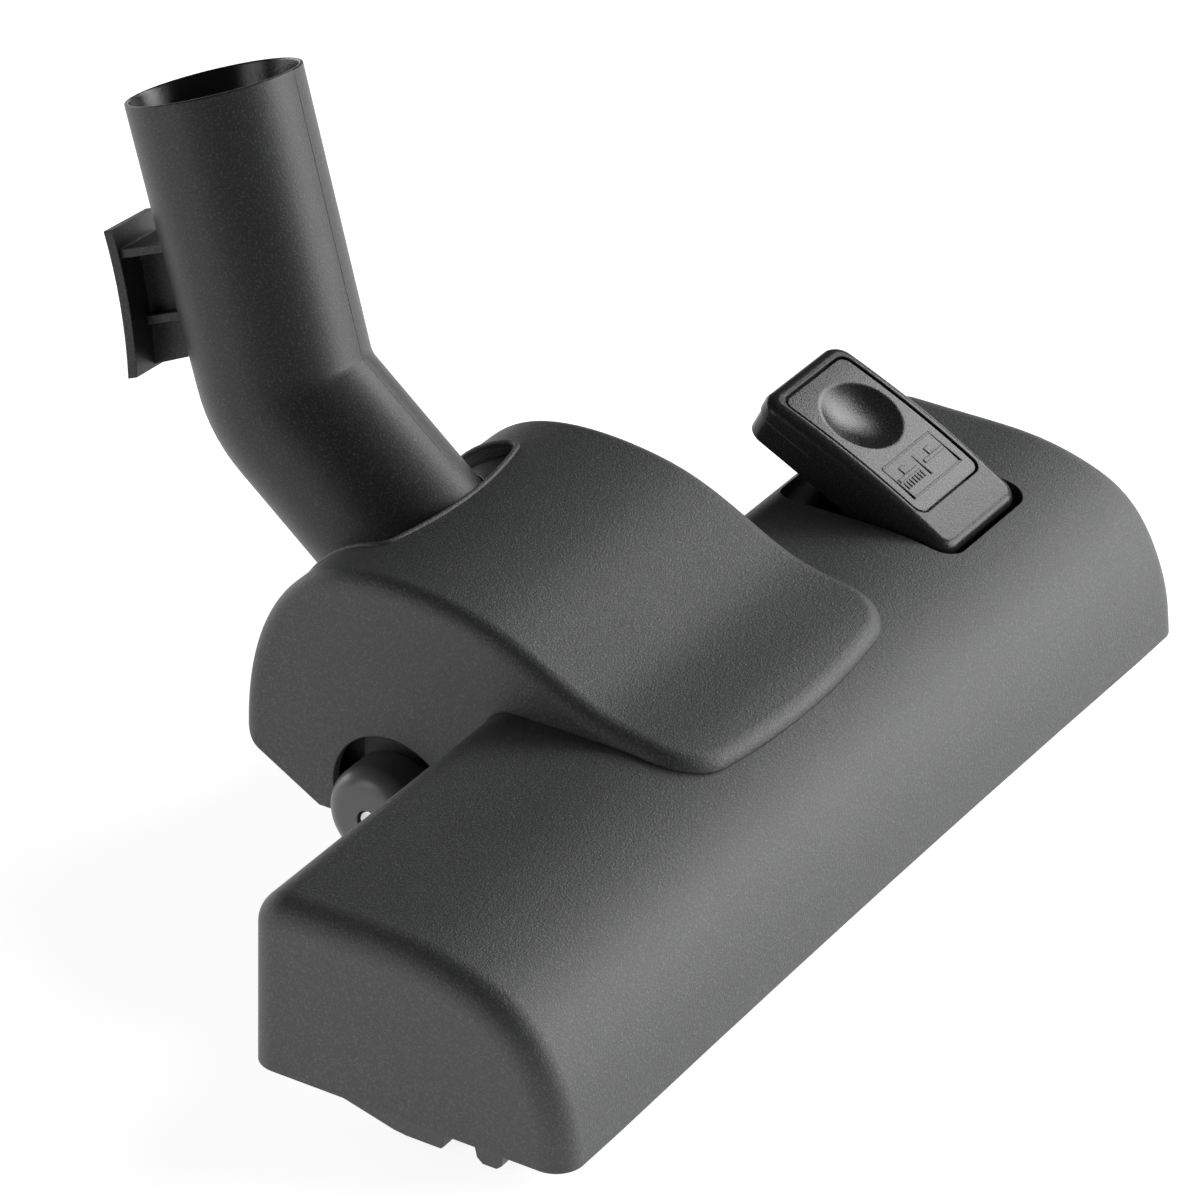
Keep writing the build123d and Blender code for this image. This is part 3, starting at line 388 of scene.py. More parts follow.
@dataclass(frozen=True)
class MouldedPlastic:
    """Moulded plastic with a grain, flecks of light on it, rubbed edges and a trace of dust.

    Depths and the rounding of edges are in metres, and the grain's scale is per metre.
    """

    name: str
    colour: Colour
    roughness: float = 0.5
    grain_scale: float = 2200.0
    grain_depth: float = 0.00006
    fleck: float = 0.35
    fleck_colour: Colour = (0.16, 0.165, 0.162)
    drift: float = 0.12
    rub: float = 0.3
    dust: float = 0.03
    edge: float = 0.0003
    sheen: float = 0.0
    specular: float = 0.5

    dust_colour: ClassVar[Colour] = (0.34, 0.33, 0.31)
    worn_gain: ClassVar[float] = 2.2
    worn_lift: ClassVar[float] = 0.01
    rough_swing: ClassVar[float] = 0.06
    rub_polish: ClassVar[float] = 0.1

    def material(self, effects: SharedEffects) -> bpy.types.Material:
        """Builds the material.

        Args:
            effects: The shared node groups.

        Returns:
            The material.
        """
        made, w, shader = start_material(self.name)
        grain = effects.place(w, effects.grain, scale=self.grain_scale)
        rub = effects.place(w, effects.rub).outputs["Mask"]
        dust = effects.place(w, effects.dust, amount=self.dust).outputs["Mask"]
        w.put(self._colour(w, grain, rub, dust), shader.inputs["Base Color"])
        swing = w.math("MULTIPLY", grain.outputs["Drift"], 2 * self.rough_swing)
        rough = w.math("ADD", self.roughness - self.rough_swing, swing)
        rough = w.math("SUBTRACT", rough, w.math("MULTIPLY", rub, self.rub_polish))
        w.put(rough, shader.inputs["Roughness"])
        bump = w.node("ShaderNodeBump")
        w.put(grain.outputs["Height"], bump.inputs["Height"])
        bump.inputs["Distance"].default_value = self.grain_depth
        bump.inputs["Strength"].default_value = 1.0
        edge = w.node("ShaderNodeBevel", samples=4)
        edge.inputs["Radius"].default_value = self.edge
        w.put(edge.outputs[0], bump.inputs["Normal"])
        w.put(bump.outputs[0], shader.inputs["Normal"])
        shader.inputs["Sheen Weight"].default_value = self.sheen
        shader.inputs["Specular IOR Level"].default_value = self.specular
        return made

    def _colour(
        self, w: Wires, grain: bpy.types.Node, rub: bpy.types.NodeSocket, dust: bpy.types.NodeSocket,
    ) -> bpy.types.NodeSocket:
        """Lays drift, flecks, rubbed edges and dust over the colour.

        Args:
            w: The material's wires.
            grain: The grain group.
            rub: Mask of the rubbed edges.
            dust: Mask of the dust.

        Returns:
            The colour socket.
        """
        deep = opaque(self.colour, 1 - self.drift)
        pale = opaque(self.colour, 1 + self.drift)
        worn = opaque(self.colour, self.worn_gain, self.worn_lift)
        colour = w.blend(grain.outputs["Drift"], deep, pale)
        flecks = w.math("MULTIPLY", grain.outputs["Fleck"], self.fleck)
        colour = w.blend(flecks, colour, opaque(self.fleck_colour))
        colour = w.blend(w.math("MULTIPLY", rub, self.rub), colour, worn)
        return w.blend(dust, colour, opaque(self.dust_colour))


@dataclass(frozen=True)
class BoredPlastic(MouldedPlastic):
    """Moulded plastic of a tube, glossier in its bore and darkened there by painted shade. The bore's sizes
    are in millimetres.
    """

    mouth: Triple = (8.403, 142.466, 147.949)
    axis: Triple = (0.115897, 0.342426, 0.932369)
    bore_radius: float = 19.9
    depth: float = 52.0
    # Near-black painted shade of the bore, laid over the tube's own colour.
    painted_bore_shade: Colour = (0.008, 0.008, 0.008)
    bore_roughness: float = 0.2
    rim_fade: float = 0.15
    depth_fade: float = 4.0

    def material(self, effects: SharedEffects) -> bpy.types.Material:
        """Builds the material.

        Args:
            effects: The shared node groups.

        Returns:
            The material.
        """
        made = super().material(effects)
        w = Wires(made.node_tree)
        shader = made.node_tree.nodes["Principled BSDF"]
        inside = self._bore_shade_mask(w)
        colour = shader.inputs["Base Color"].links[0].from_socket
        rough = shader.inputs["Roughness"].links[0].from_socket
        # Paints the bore's shade over the colour, and makes the bore glossier.
        w.put(w.blend(inside, colour, opaque(self.painted_bore_shade)), shader.inputs["Base Color"])
        w.put(w.ramp(inside, 0.0, 1.0, rough, self.bore_roughness), shader.inputs["Roughness"])
        return made

    def _bore_shade_mask(self, w: Wires) -> bpy.types.NodeSocket:
        """Masks the bore, where shade is painted, from the mouth down to its depth.

        Args:
            w: The material's wires.

        Returns:
            The mask of painted shade, which is 1 in the bore.
        """
        away = w.node("ShaderNodeVectorMath", operation="SUBTRACT")
        w.put(w.object_place(), away.inputs[0])
        away.inputs[1].default_value = [value * MM for value in self.mouth]
        aside = w.node("ShaderNodeVectorMath", operation="CROSS_PRODUCT")
        along = w.node("ShaderNodeVectorMath", operation="DOT_PRODUCT")
        for made in (aside, along):
            w.put(away.outputs[0], made.inputs[0])
            made.inputs[1].default_value = self.axis
        reach = w.node("ShaderNodeVectorMath", operation="LENGTH")
        w.put(aside.outputs[0], reach.inputs[0])
        edge = (self.bore_radius - self.rim_fade) * MM, (self.bore_radius + self.rim_fade) * MM
        near = w.ramp(reach.outputs["Value"], *edge, start=1.0, end=0.0)
        below = w.ramp(along.outputs["Value"], -(self.depth + self.depth_fade) * MM, -self.depth * MM)
        return w.math("MULTIPLY", near, below)


@dataclass(frozen=True)
class DrawnSteel:
    """Bright steel with fine marks round or along its axis, whose stretch is per metre."""

    name: str
    colour: Colour = (0.6, 0.6, 0.59)
    roughness: float = 0.28
    stretch: Triple = (3000.0, 400.0, 400.0)

    dull_gain: ClassVar[float] = 0.72
    rubbed_colour: ClassVar[Colour] = (0.8, 0.8, 0.78)
    groove_depth: ClassVar[float] = 0.00001
    smoother: ClassVar[float] = 0.08
    rougher: ClassVar[float] = 0.12

    def material(self, effects: SharedEffects) -> bpy.types.Material:
        """Builds the material.

        Args:
            effects: The shared node groups.

        Returns:
            The material.
        """
        made, w, shader = start_material(self.name)
        scaled = w.node("ShaderNodeMapping")
        w.put(w.object_place(), scaled.inputs["Vector"])
        scaled.inputs["Scale"].default_value = self.stretch
        lines = w.noise(scaled.outputs[0], 1.0, detail=3.0, roughness=0.6)
        rub = effects.place(w, effects.rub, reach=0.0004)
        dull = opaque(self.colour, self.dull_gain)
        colour = w.blend(w.ramp(lines, low=0.35, high=0.65), dull, opaque(self.colour))
        colour = w.blend(rub.outputs["Mask"], colour, opaque(self.rubbed_colour))
        w.put(colour, shader.inputs["Base Color"])
        finest, coarsest = self.roughness - self.smoother, self.roughness + self.rougher
        w.put(w.ramp(lines, low=0.3, high=0.7, start=finest, end=coarsest), shader.inputs["Roughness"])
        shader.inputs["Metallic"].default_value = 1.0
        bump = w.node("ShaderNodeBump")
        w.put(lines, bump.inputs["Height"])
        bump.inputs["Distance"].default_value = self.groove_depth
        w.put(bump.outputs[0], shader.inputs["Normal"])
        return made


@dataclass(frozen=True)
class Filament:
    """Nylon or pile fibre, paler and duller towards its worn end. Heights in millimetres."""

    name: str
    root: Colour
    tip: Colour
    low_z: float
    high_z: float
    roughness: float = 0.5
    sheen: float = 0.3

    strand_scale: ClassVar[float] = 900.0
    strand_mix: ClassVar[float] = 0.8
    grain_scale: ClassVar[float] = 5000.0
    smoother: ClassVar[float] = 0.1
    rougher: ClassVar[float] = 0.15

    def material(self, effects: SharedEffects) -> bpy.types.Material:
        """Builds the material.

        Args:
            effects: The shared node groups.

        Returns:
            The material.
        """
        made, w, shader = start_material(self.name)
        place = w.object_place()
        split = w.node("ShaderNodeSeparateXYZ")
        w.put(place, split.inputs[0])
        along = w.ramp(split.outputs["Z"], self.low_z * MM, self.high_z * MM)
        strands = w.noise(place, self.strand_scale, detail=2.0, roughness=0.6)
        grain = effects.place(w, effects.grain, scale=self.grain_scale)
        varied = w.math("MULTIPLY", w.math("SUBTRACT", strands, 0.5), self.strand_mix)
        mixed = w.math("ADD", along, varied, clamp=True)
        w.put(w.blend(mixed, opaque(self.tip), opaque(self.root)), shader.inputs["Base Color"])
        finest, coarsest = self.roughness - self.smoother, self.roughness + self.rougher
        rough = w.ramp(grain.outputs["Height"], low=0.3, high=0.7, start=finest, end=coarsest)
        w.put(rough, shader.inputs["Roughness"])
        shader.inputs["Sheen Weight"].default_value = self.sheen
        return made


@dataclass(frozen=True)
class Stock:
    """A finish and the record's slot that it stands for."""

    finish: MouldedPlastic | DrawnSteel | Filament
    slot: str


class Rack:
    """Every material of the head, built once and handed out by name."""

    def __init__(self, effects: SharedEffects, stocks: dict[str, Stock]) -> None:
        """Builds all materials.

        Args:
            effects: The shared node groups.
            stocks: Finishes by name.
        """
        self.stocks = stocks
        self.made = {name: stock.finish.material(effects) for name, stock in stocks.items()}

    def dress(self, node: str, name: str) -> None:
        """Gives a construction node its material.

        Args:
            node: Name of the node.
            name: Name of the stock.
        """
        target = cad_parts[node]
        target.data.materials.clear()
        target.data.materials.append(self.made[name])

    def finish(
        self, bm: bmesh.types.BMesh, label: str, name: str, body: Body, smooth: bool = True,
    ) -> bpy.types.Object:
        """Turns a built mesh into a piece on its body.

        Args:
            bm: The built mesh, in metres, freed here.
            label: Name of the piece.
            name: Name of the stock.
            body: The body it rides on.
            smooth: Whether its faces are shaded smooth.

        Returns:
            The new object.
        """
        mesh = bpy.data.meshes.new(label)
        for face in bm.faces:
            face.smooth = smooth
        bm.to_mesh(mesh)
        bm.free()
        made = bpy.data.objects.new(label, mesh)
        bpy.context.scene.collection.objects.link(made)
        mesh.materials.append(self.made[name])
        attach(made, body.value)
        return made


def soft_edges(bm: bmesh.types.BMesh, width: float, sharp: float = 30.0) -> None:
    """Cuts a small flat along each sharp edge of a mesh.

    Args:
        bm: The mesh.
        width: How far the flat reaches on each side of the edge, in the mesh's unit.
        sharp: Least angle between faces, in degrees.
    """
    least = math.radians(sharp)
    edges = [edge for edge in bm.edges if len(edge.link_faces) == 2 and edge.calc_face_angle(0.0) > least]
    bmesh.ops.bevel(
        bm, geom=edges, offset=width, offset_type="OFFSET", affect="EDGES", segments=1, profile=0.5,
        material=-1, clamp_overlap=True,
    )


class Assembly:
    """One sub-assembly of the head: it finishes its construction nodes and adds its own pieces."""

    finishes: ClassVar[dict[str, str]] = {}

    def dress(self, rack: Rack) -> None:
        """Gives each construction node its finish.

        Args:
            rack: The materials.
        """
        for node, name in self.finishes.items():
            rack.dress(node, name)

    def build(self, rack: Rack) -> list[bpy.types.Object]:
        """Returns the assembly's own pieces, none unless a sub-assembly builds some."""
        return []


@dataclass
class Casings(Assembly):
    """Head housing, neck cover, rear housing, sole and the bead round the neck slot. Sizes in millimetres."""

    slot_half: float = 27.2
    slot_front: float = 70.0
    slot_side: float = 74.5
    slot_corner: float = 3.0
    slot_end: float = 94.0
    bead_radius: float = 0.7
    bead_outset: float = 0.45
    bead_sides: int = 10

    # Shares of the corner's size: how far its curve reaches along both edges, and how far behind the
    # end of the arched front the curve's control point lies.
    corner_reach: ClassVar[float] = 0.8
    corner_rise: ClassVar[float] = 0.1
    # Share of the bead's radius by which its middle lies below the cover's surface.
    bead_sink: ClassVar[float] = 0.1
    # Numbers of points along the straight side and along half of the arched front.
    side_points: ClassVar[int] = 10
    front_points: ClassVar[int] = 12

    finishes: ClassVar[dict[str, str]] = {
        "head_housing": "shell", "neck_cover": "cover", "rear_housing": "rear_shell", "soleplate": "sole",
        "air_duct": "inner_plastic", "shaft_caps": "inner_plastic", "drum_seal": "seal_rubber",
        "sole_screws": "screw_steel", "cover_screws": "screw_steel",
    }

    def build(self, rack: Rack) -> list[bpy.types.Object]:
        """Returns the bead round the neck slot."""
        return [self._slot_bead(rack)]

    def _slot_edge(self) -> list[Vector]:
        """Follows the edge of the neck slot in plan, just outside it.

        Returns:
            Points from the slot's right end round its front to its left end, in millimetres.
        """
        half = self.slot_half + self.bead_outset
        front = self.slot_front - self.bead_outset
        rise = self.slot_side - self.slot_front
        arc = (half ** 2 + rise ** 2) / (2 * rise)
        corner_x = half - self.slot_corner * self.corner_reach
        straight_end = self.slot_side + self.slot_corner * self.corner_reach
        points = [Vector((half, y, 0.0)) for y in self._steps(self.slot_end, straight_end, self.side_points)]
        leave = Vector((half, straight_end, 0.0))
        corner = Vector((half, self.slot_side + self.slot_corner * self.corner_rise, 0.0))
        arch = [
            Vector((x, front + arc - math.sqrt(arc ** 2 - x ** 2), 0.0))
            for x in self._steps(corner_x, 0.0, self.front_points)
        ]
        for share in (0.25, 0.5, 0.75):
            points.append(leave.lerp(corner, share).lerp(corner.lerp(arch[0], share), share))
        points += arch
        return points + [Vector((-point.x, point.y, 0.0)) for point in reversed(points[:-1])]

    @staticmethod
    def _ring_edges(row: list[bmesh.types.BMVert]) -> list[bmesh.types.BMEdge]:
        """Returns the edges that join the points of one ring."""
        edges = (edge for vert in row for edge in vert.link_edges if edge.other_vert(vert) in row)
        return list(dict.fromkeys(edges))

    @staticmethod
    def _steps(first: float, last: float, count: int) -> list[float]:
        """Returns evenly spaced values from first to last."""
        return [first + (last - first) * step / (count - 1) for step in range(count)]

    def _lay_on_cover(self, plan: list[Vector]) -> list[Vector]:
        """Lowers plan points onto the top of the neck cover.

        Args:
            plan: Points in plan, in millimetres.

        Returns:
            The middle of the bead at each point that has cover below it, in millimetres.
        """
        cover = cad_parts["neck_cover"].data
        corners = [vert.co for vert in cover.vertices]
        tree = BVHTree.FromPolygons(corners, [tuple(face.vertices) for face in cover.polygons])
        sunk = Vector((0, 0, self.bead_radius * self.bead_sink))
        path = []
        for point in plan:
            hit = tree.ray_cast(Vector((point.x * MM, point.y * MM, 1.0)), -UP)[0]
            if hit is not None:
                path.append(hit / MM - sunk)
        return path

    def _slot_bead(self, rack: Rack) -> bpy.types.Object:
        """Builds the thin raised bead that follows the edge of the neck slot on the cover.

        Args:
            rack: The materials.

        Returns:
            The bead.
        """
        path = self._lay_on_cover(self._slot_edge())
        bm = bmesh.new()
        rows = []
        for step, point in enumerate(path):
            ahead = path[min(step + 1, len(path) - 1)] - path[max(step - 1, 0)]
            shape = Matrix.Scale(MM, 4) @ Matrix.Translation(point) @ aimed(ahead)
            ring = bmesh.ops.create_circle(
                bm, segments=self.bead_sides, radius=self.bead_radius, matrix=shape, cap_ends=False,
            )
            rows.append(ring["verts"])
        for first, second in zip(rows, rows[1:]):
            bmesh.ops.bridge_loops(bm, edges=self._ring_edges(first) + self._ring_edges(second))
        for row in (rows[0], rows[-1]):
            bmesh.ops.contextual_create(bm, geom=self._ring_edges(row))
        bmesh.ops.recalc_face_normals(bm, faces=bm.faces)
        return rack.finish(bm, "neck_slot_bead", "cover", Body.BASE)


@dataclass
class ToePedal(Assembly):
    """Pedal with its inlaid panel and a plain floor pictogram raised on it.

    Sizes are in millimetres and angles in degrees.
    """

    # The front end of the pedal's top is given along y and z.
    middle_x: float = 88.5
    front: Pair = (-13.3, 44.2)
    length: float = 56.6
    slope: float = 26.9
    crown_radius: float = 260.0
    panel_drop: float = 0.25
    mark_height: float = 0.35
    mark_width: float = 0.55
    mark_edge: float = 0.08

    # Two floor tools side by side, each by its middle and its number of bristles.
    tools: ClassVar[tuple[tuple[float, int], ...]] = ((-5.6, 7), (5.6, 0))
    foot_y: ClassVar[float] = -8.0
    foot_size: ClassVar[Pair] = (8.4, 1.1)
    neck_y: ClassVar[float] = -6.4
    neck_size: ClassVar[Pair] = (2.2, 2.0)
    bristle_y: ClassVar[float] = -9.9
    bristle_length: ClassVar[float] = 1.9
    bristle_start: ClassVar[float] = 3.6
    bristle_pitch: ClassVar[float] = 1.2
    # The rule between the tools, and the frame round them.
    middle_y: ClassVar[float] = -8.2
    rule_length: ClassVar[float] = 6.2
    frame_y: ClassVar[Pair] = (-13.2, -3.2)
    frame_x: ClassVar[Pair] = (-10.5, 10.5)
    frame_size: ClassVar[Pair] = (21.0, 10.5)

    finishes: ClassVar[dict[str, str]] = {
        "pedal": "pedal_gloss", "pedal_panel": "pedal_grain", "lift_shaft": "shaft_steel",
    }

    def build(self, rack: Rack) -> list[bpy.types.Object]:
        """Returns the pictogram."""
        return [self._pictogram(rack)]

    def _place(self, x: float, y: float) -> Vector:
        """Finds a point on the crowned panel.

        Args:
            x: Place across the panel.
            y: Place along the panel, from its middle.

        Returns:
            The point, in local millimetres.
        """
        crown = self.length ** 2 / (8 * self.crown_radius)
        fall = self.crown_radius - math.sqrt(self.crown_radius ** 2 - y ** 2)
        return Vector((x, y, crown - self.panel_drop - fall))

    def _local(self) -> Matrix:
        """Works out how the pedal's top lies in the model.

        Returns:
            The matrix from local millimetres to the model's frame in metres.
        """
        slope = math.radians(self.slope)
        up_slope = Vector((0, math.cos(slope), math.sin(slope)))
        outwards = Vector((0, -math.sin(slope), math.cos(slope)))
        origin = Vector((self.middle_x, *self.front)) + up_slope * self.length / 2
        return Matrix.Scale(MM, 4) @ placed(Vector((1, 0, 0)), up_slope, outwards, origin)

    def _bar(self, bm: bmesh.types.BMesh, centre: Pair, size: Pair) -> None:
        """Adds one raised bar.

        Args:
            bm: The mesh.
            centre: Middle of the bar on the panel.
            size: Width and length of the bar.
        """
        shape = Matrix.Translation(self._place(*centre)) @ Matrix.Diagonal((*size, self.mark_height, 1.0))
        bmesh.ops.create_cube(bm, size=1.0, matrix=shape)

    def _pictogram(self, rack: Rack) -> bpy.types.Object:
        """Builds the raised pictogram: a brush with bristles, a bare foot and a rule between them.

        Args:
            rack: The materials.

        Returns:
            The pictogram.
        """
        bm = bmesh.new()
        for x, bristles in self.tools:
            self._bar(bm, (x, self.foot_y), self.foot_size)
            self._bar(bm, (x, self.neck_y), self.neck_size)
            for step in range(bristles):
                place = x - self.bristle_start + self.bristle_pitch * step
                self._bar(bm, (place, self.bristle_y), (self.mark_width, self.bristle_length))
        self._bar(bm, (0.0, self.middle_y), (self.mark_width, self.rule_length))
        for y in self.frame_y:
            self._bar(bm, (0.0, y), (self.frame_size[0], self.mark_width))
        for x in self.frame_x:
            self._bar(bm, (x, self.middle_y), (self.mark_width, self.frame_size[1]))
        soft_edges(bm, self.mark_edge)
        bmesh.ops.transform(bm, matrix=self._local(), verts=bm.verts)
        return rack.finish(bm, "pedal_pictogram", "pedal_grain", Body.PEDAL, smooth=False)


@dataclass
class Elbow(Assembly):
    """Elbow tube with its mould seams, swivel pieces and knuckle.

    Sizes are in millimetres and angles in degrees.
    """

    tilt_point: Vector = field(default_factory=lambda: Vector((0.0, 68.0, 38.7)))
    rise: float = 40.0
    turn: float = 13.2
    bend: float = 30.5
    bend_distance: float = 64.8
    bend_radius: float = 23.0
    tube_radius: float = 20.1
    mouth_radius: float = 20.5
    low: float = 32.0
    upper_length: float = 71.6
    seam_width: float = 0.35
    seam_height: float = 0.06
    seam_sink: float = 0.1

    # Numbers of steps along the lower tube, round the bend and along the upper tube.
    low_steps: ClassVar[int] = 8
    bend_steps: ClassVar[int] = 8
    upper_steps: ClassVar[int] = 12

    finishes: ClassVar[dict[str, str]] = {
        "elbow_tube": "tube_satin", "knuckle": "knuckle_plastic",
        "swivel_ring": "inner_plastic", "swivel_seal": "seal_rubber",
    }

    def build(self, rack: Rack) -> list[bpy.types.Object]:
        """Returns the mould seams."""
        return [self._seams(rack)]

    def _axes(self) -> tuple[Vector, Vector, Vector]:
        """Works out how the tube lies at rest.

        Returns:
            The directions of the lower tube, of the bend's axis and of its inner side.
        """
        rise, turn = math.radians(self.rise), math.radians(self.turn)
        along = Vector((0, math.cos(rise), math.sin(rise)))
        across = Vector((math.cos(turn), math.sin(turn) * math.sin(rise), -math.sin(turn) * math.cos(rise)))
        return along, across, across.cross(along)

    def _seam_points(self, side: float) -> list[tuple[Vector, Vector]]:
        """Follows the tube's surface in the plane of its bend.

        Args:
            side: 1 for the inner side of the bend, -1 for the outer.

        Returns:
            Points on the surface, each with the direction outwards.
        """
        along, across, inner = self._axes()
        bend = math.radians(self.bend)
        leg = self.bend_radius * math.tan(bend / 2)
        points = []
        for step in range(self.low_steps + 1):
            reach = self.low + (self.bend_distance - leg - self.low) * step / self.low_steps
            points.append((self.tilt_point + along * reach, inner, self.tube_radius))
        centre = self.tilt_point + along * (self.bend_distance - leg) + inner * self.bend_radius
        for step in range(1, self.bend_steps + 1):
            angle = bend * step / self.bend_steps
            out = inner * math.cos(angle) - along * math.sin(angle)
            points.append((centre - out * self.bend_radius, out, self.tube_radius))
        upper = along * math.cos(bend) + inner * math.sin(bend)
        start = self.tilt_point + along * self.bend_distance + upper * leg
        for step in range(1, self.upper_steps + 1):
            share = step / self.upper_steps
            radius = self.tube_radius + (self.mouth_radius - self.tube_radius) * share
            points.append((start + upper * (self.upper_length - leg) * share, out, radius))
        return [(middle + away * side * radius, away * side) for middle, away, radius in points]

    def _seams(self, rack: Rack) -> bpy.types.Object:
        """Builds the two fine mould seams along the tube.

        Args:
            rack: The materials.

        Returns:
            The seams.
        """
        half = self._axes()[1] * self.seam_width / 2
        bm = bmesh.new()
        for side in (1.0, -1.0):
            rows = []
            for point, away in self._seam_points(side):
                sunk = away * self.seam_sink
                ring = [point - half - sunk, point + away * self.seam_height, point + half - sunk]
                rows.append([bm.verts.new(corner * MM) for corner in ring])
            for first, second in zip(rows, rows[1:]):
                edges = []
                for row in (first, second):
                    for pair in zip(row, row[1:] + row[:1]):
                        edges.append(bm.edges.get(pair) or bm.edges.new(pair))
                bmesh.ops.bridge_loops(bm, edges=edges)
            for row in (rows[0], rows[-1]):
                bm.faces.new(row)
        bmesh.ops.recalc_face_normals(bm, faces=bm.faces)
        return rack.finish(bm, "tube_mould_seams", "tube_satin", Body.ELBOW, smooth=False)


@dataclass
class LiftingBrushes(Assembly):
    """Two brushes of nylon tufts on their lifting carrier. Sizes in millimetres."""

    rows: dict[str, float] = field(default_factory=lambda: {"front": -30.2, "rear": 28.0})
    tuft_pitch: float = 6.4
    row_pitch: float = 3.4
    count: int = 34
    top: float = 11.7
    length: float = 9.0
    uneven: Pair = (-0.55, 0.05)
    per_tuft: int = 15
    filament_radius: float = 0.13
    tip_taper: float = 0.75
    filament_sides: int = 5
    root_spread: float = 0.75
    tip_spread: float = 1.15
    lift: float = 6.2
    merge_reach: float = 0.0001
    seed: int = 11

    finishes: ClassVar[dict[str, str]] = {
        "brush_carrier": "inner_plastic", "front_brush_backing": "brush_back",
        "rear_brush_backing": "brush_back", "front_bristles": "bristle",
        "rear_bristles": "bristle", "carrier_springs": "spring_steel",
    }

    def build(self, rack: Rack) -> list[bpy.types.Object]:
        """Returns both brushes and the springs."""
        return [*self._tufts(rack), self._coils(rack)]

    def _tufts(self, rack: Rack) -> list[bpy.types.Object]:
        """Builds each brush as splayed filaments in place of its plain tufts.

        Args:
            rack: The materials.

        Returns:
            The front and the rear brush.
        """
        draw = random.Random(self.seed)
        made = []
        for name, y in self.rows.items():
            bm = bmesh.new()
            for column in range(self.count):
                x = (column - (self.count - 1) / 2) * self.tuft_pitch
                for row in (-0.5, 0.5):
                    self._tuft(bm, draw, Vector((x, y + row * self.row_pitch, self.top)))
            bmesh.ops.scale(bm, vec=Vector((MM, MM, MM)), verts=bm.verts)
            piece = rack.finish(bm, f"{name}_bristle_filaments", "bristle", Body.CARRIER)
            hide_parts(f"{name}_bristles")
            made.append(piece)
        return made

    def _tuft(self, bm: bmesh.types.BMesh, draw: random.Random, root: Vector) -> None:
        """Adds one tuft.

        Args:
            bm: The mesh, in millimetres.
            draw: Source of chance.
            root: Middle of the tuft at the backing.
        """
        radii = self.filament_radius, self.filament_radius * self.tip_taper
        for _ in range(self.per_tuft):
            angle, share = draw.uniform(0, math.tau), math.sqrt(draw.random())
            way = Vector((math.cos(angle), math.sin(angle), 0.0))
            start = root + way * share * self.root_spread
            drop = Vector((0, 0, self.length + draw.uniform(*self.uneven)))
            add_fibre(bm, start, root + way * share * self.tip_spread - drop, radii, self.filament_sides)

    def _coils(self, rack: Rack) -> bpy.types.Object:
        """Builds the two springs again as one piece from their construction mesh, with doubled points merged.

        Args:
            rack: The materials.

        Returns:
            The springs.
        """
        bm = bmesh.new()
        bm.from_mesh(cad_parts["carrier_springs"].data)
        bmesh.ops.remove_doubles(bm, verts=bm.verts, dist=self.merge_reach * MM)
        bmesh.ops.recalc_face_normals(bm, faces=bm.faces)
        piece = rack.finish(bm, "carrier_spring_coils", "spring_steel", Body.BASE)
        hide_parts("carrier_springs")
        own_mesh(piece)
        return piece


@dataclass
class LintStrips(Assembly):
    """Two velvet strips on the sole, each with its own short pile. Sizes in millimetres."""

    middle: Pair = (72.0, -5.5)
    size: Pair = (71.4, 5.6)
    back_border: Pair = (0.4, 0.2)
    low: float = 0.2
    back_low: float = 0.75
    back_high: float = 1.2
    pitch: float = 0.52
    radii: Pair = (0.16, 0.07)
    hair_sides: int = 3
    seed: int = 5

    # How far a hair is set in, stands off its place, leans along and across, and falls short.
    rooted: ClassVar[float] = 0.1
    scatter: ClassVar[float] = 0.1
    lean_along: ClassVar[float] = 0.15
    lean_across: ClassVar[float] = 0.2
    lean_spread: ClassVar[float] = 0.1
    short_by: ClassVar[float] = 0.12

    finishes: ClassVar[dict[str, str]] = {"left_lint_strip": "velvet", "right_lint_strip": "velvet"}

    def build(self, rack: Rack) -> list[bpy.types.Object]:
        """Builds both strips.

        Args:
            rack: The materials.

        Returns:
            The left and the right strip.
        """
        made = []
        for side, node in ((Side.LEFT, "left_lint_strip"), (Side.RIGHT, "right_lint_strip")):
            draw = random.Random(self.seed + side.value)
            centre = Vector((side.value * self.middle[0], self.middle[1], 0.0))
            bm = bmesh.new()
            height = self.back_high - self.back_low
            shape = Matrix.Translation(centre + Vector((0, 0, self.back_low + height / 2)))
            width, depth = (length + more for length, more in zip(self.size, self.back_border))
            bmesh.ops.create_cube(bm, size=1.0, matrix=shape @ Matrix.Diagonal((width, depth, height, 1.0)))
            for row in range(int(self.size[1] / self.pitch)):
                for place in range(int(self.size[0] / self.pitch)):
                    self._hair(bm, draw, centre, place, row)
            bmesh.ops.scale(bm, vec=Vector((MM, MM, MM)), verts=bm.verts)
            piece = rack.finish(bm, f"{side.name.lower()}_velvet_pile", "velvet", Body.BASE)
            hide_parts(node)
            made.append(piece)
        return made

    def _hair(
        self, bm: bmesh.types.BMesh, draw: random.Random, centre: Vector, along: int, across: int,
    ) -> None:
        """Adds one pile fibre.

        Args:
            bm: The mesh, in millimetres.
            draw: Source of chance.
            centre: Middle of the strip.
            along: Number along the strip.
            across: Number across the strip.
        """
        x = -self.size[0] / 2 + (along + 0.5) * self.pitch + draw.uniform(-self.scatter, self.scatter)
        y = -self.size[1] / 2 + (across + 0.5) * self.pitch + draw.uniform(-self.scatter, self.scatter)
        foot = centre + Vector((x, y, self.back_low + self.rooted))
        lean_x = draw.uniform(-self.lean_along, self.lean_along)
        lean_y = self.lean_across + draw.uniform(-self.lean_spread, self.lean_spread)
        low = self.low + draw.uniform(0.0, self.short_by)
        tip = centre + Vector((x, y, low)) + Vector((lean_x, lean_y, 0.0))
        add_fibre(bm, foot, tip, self.radii, self.hair_sides)


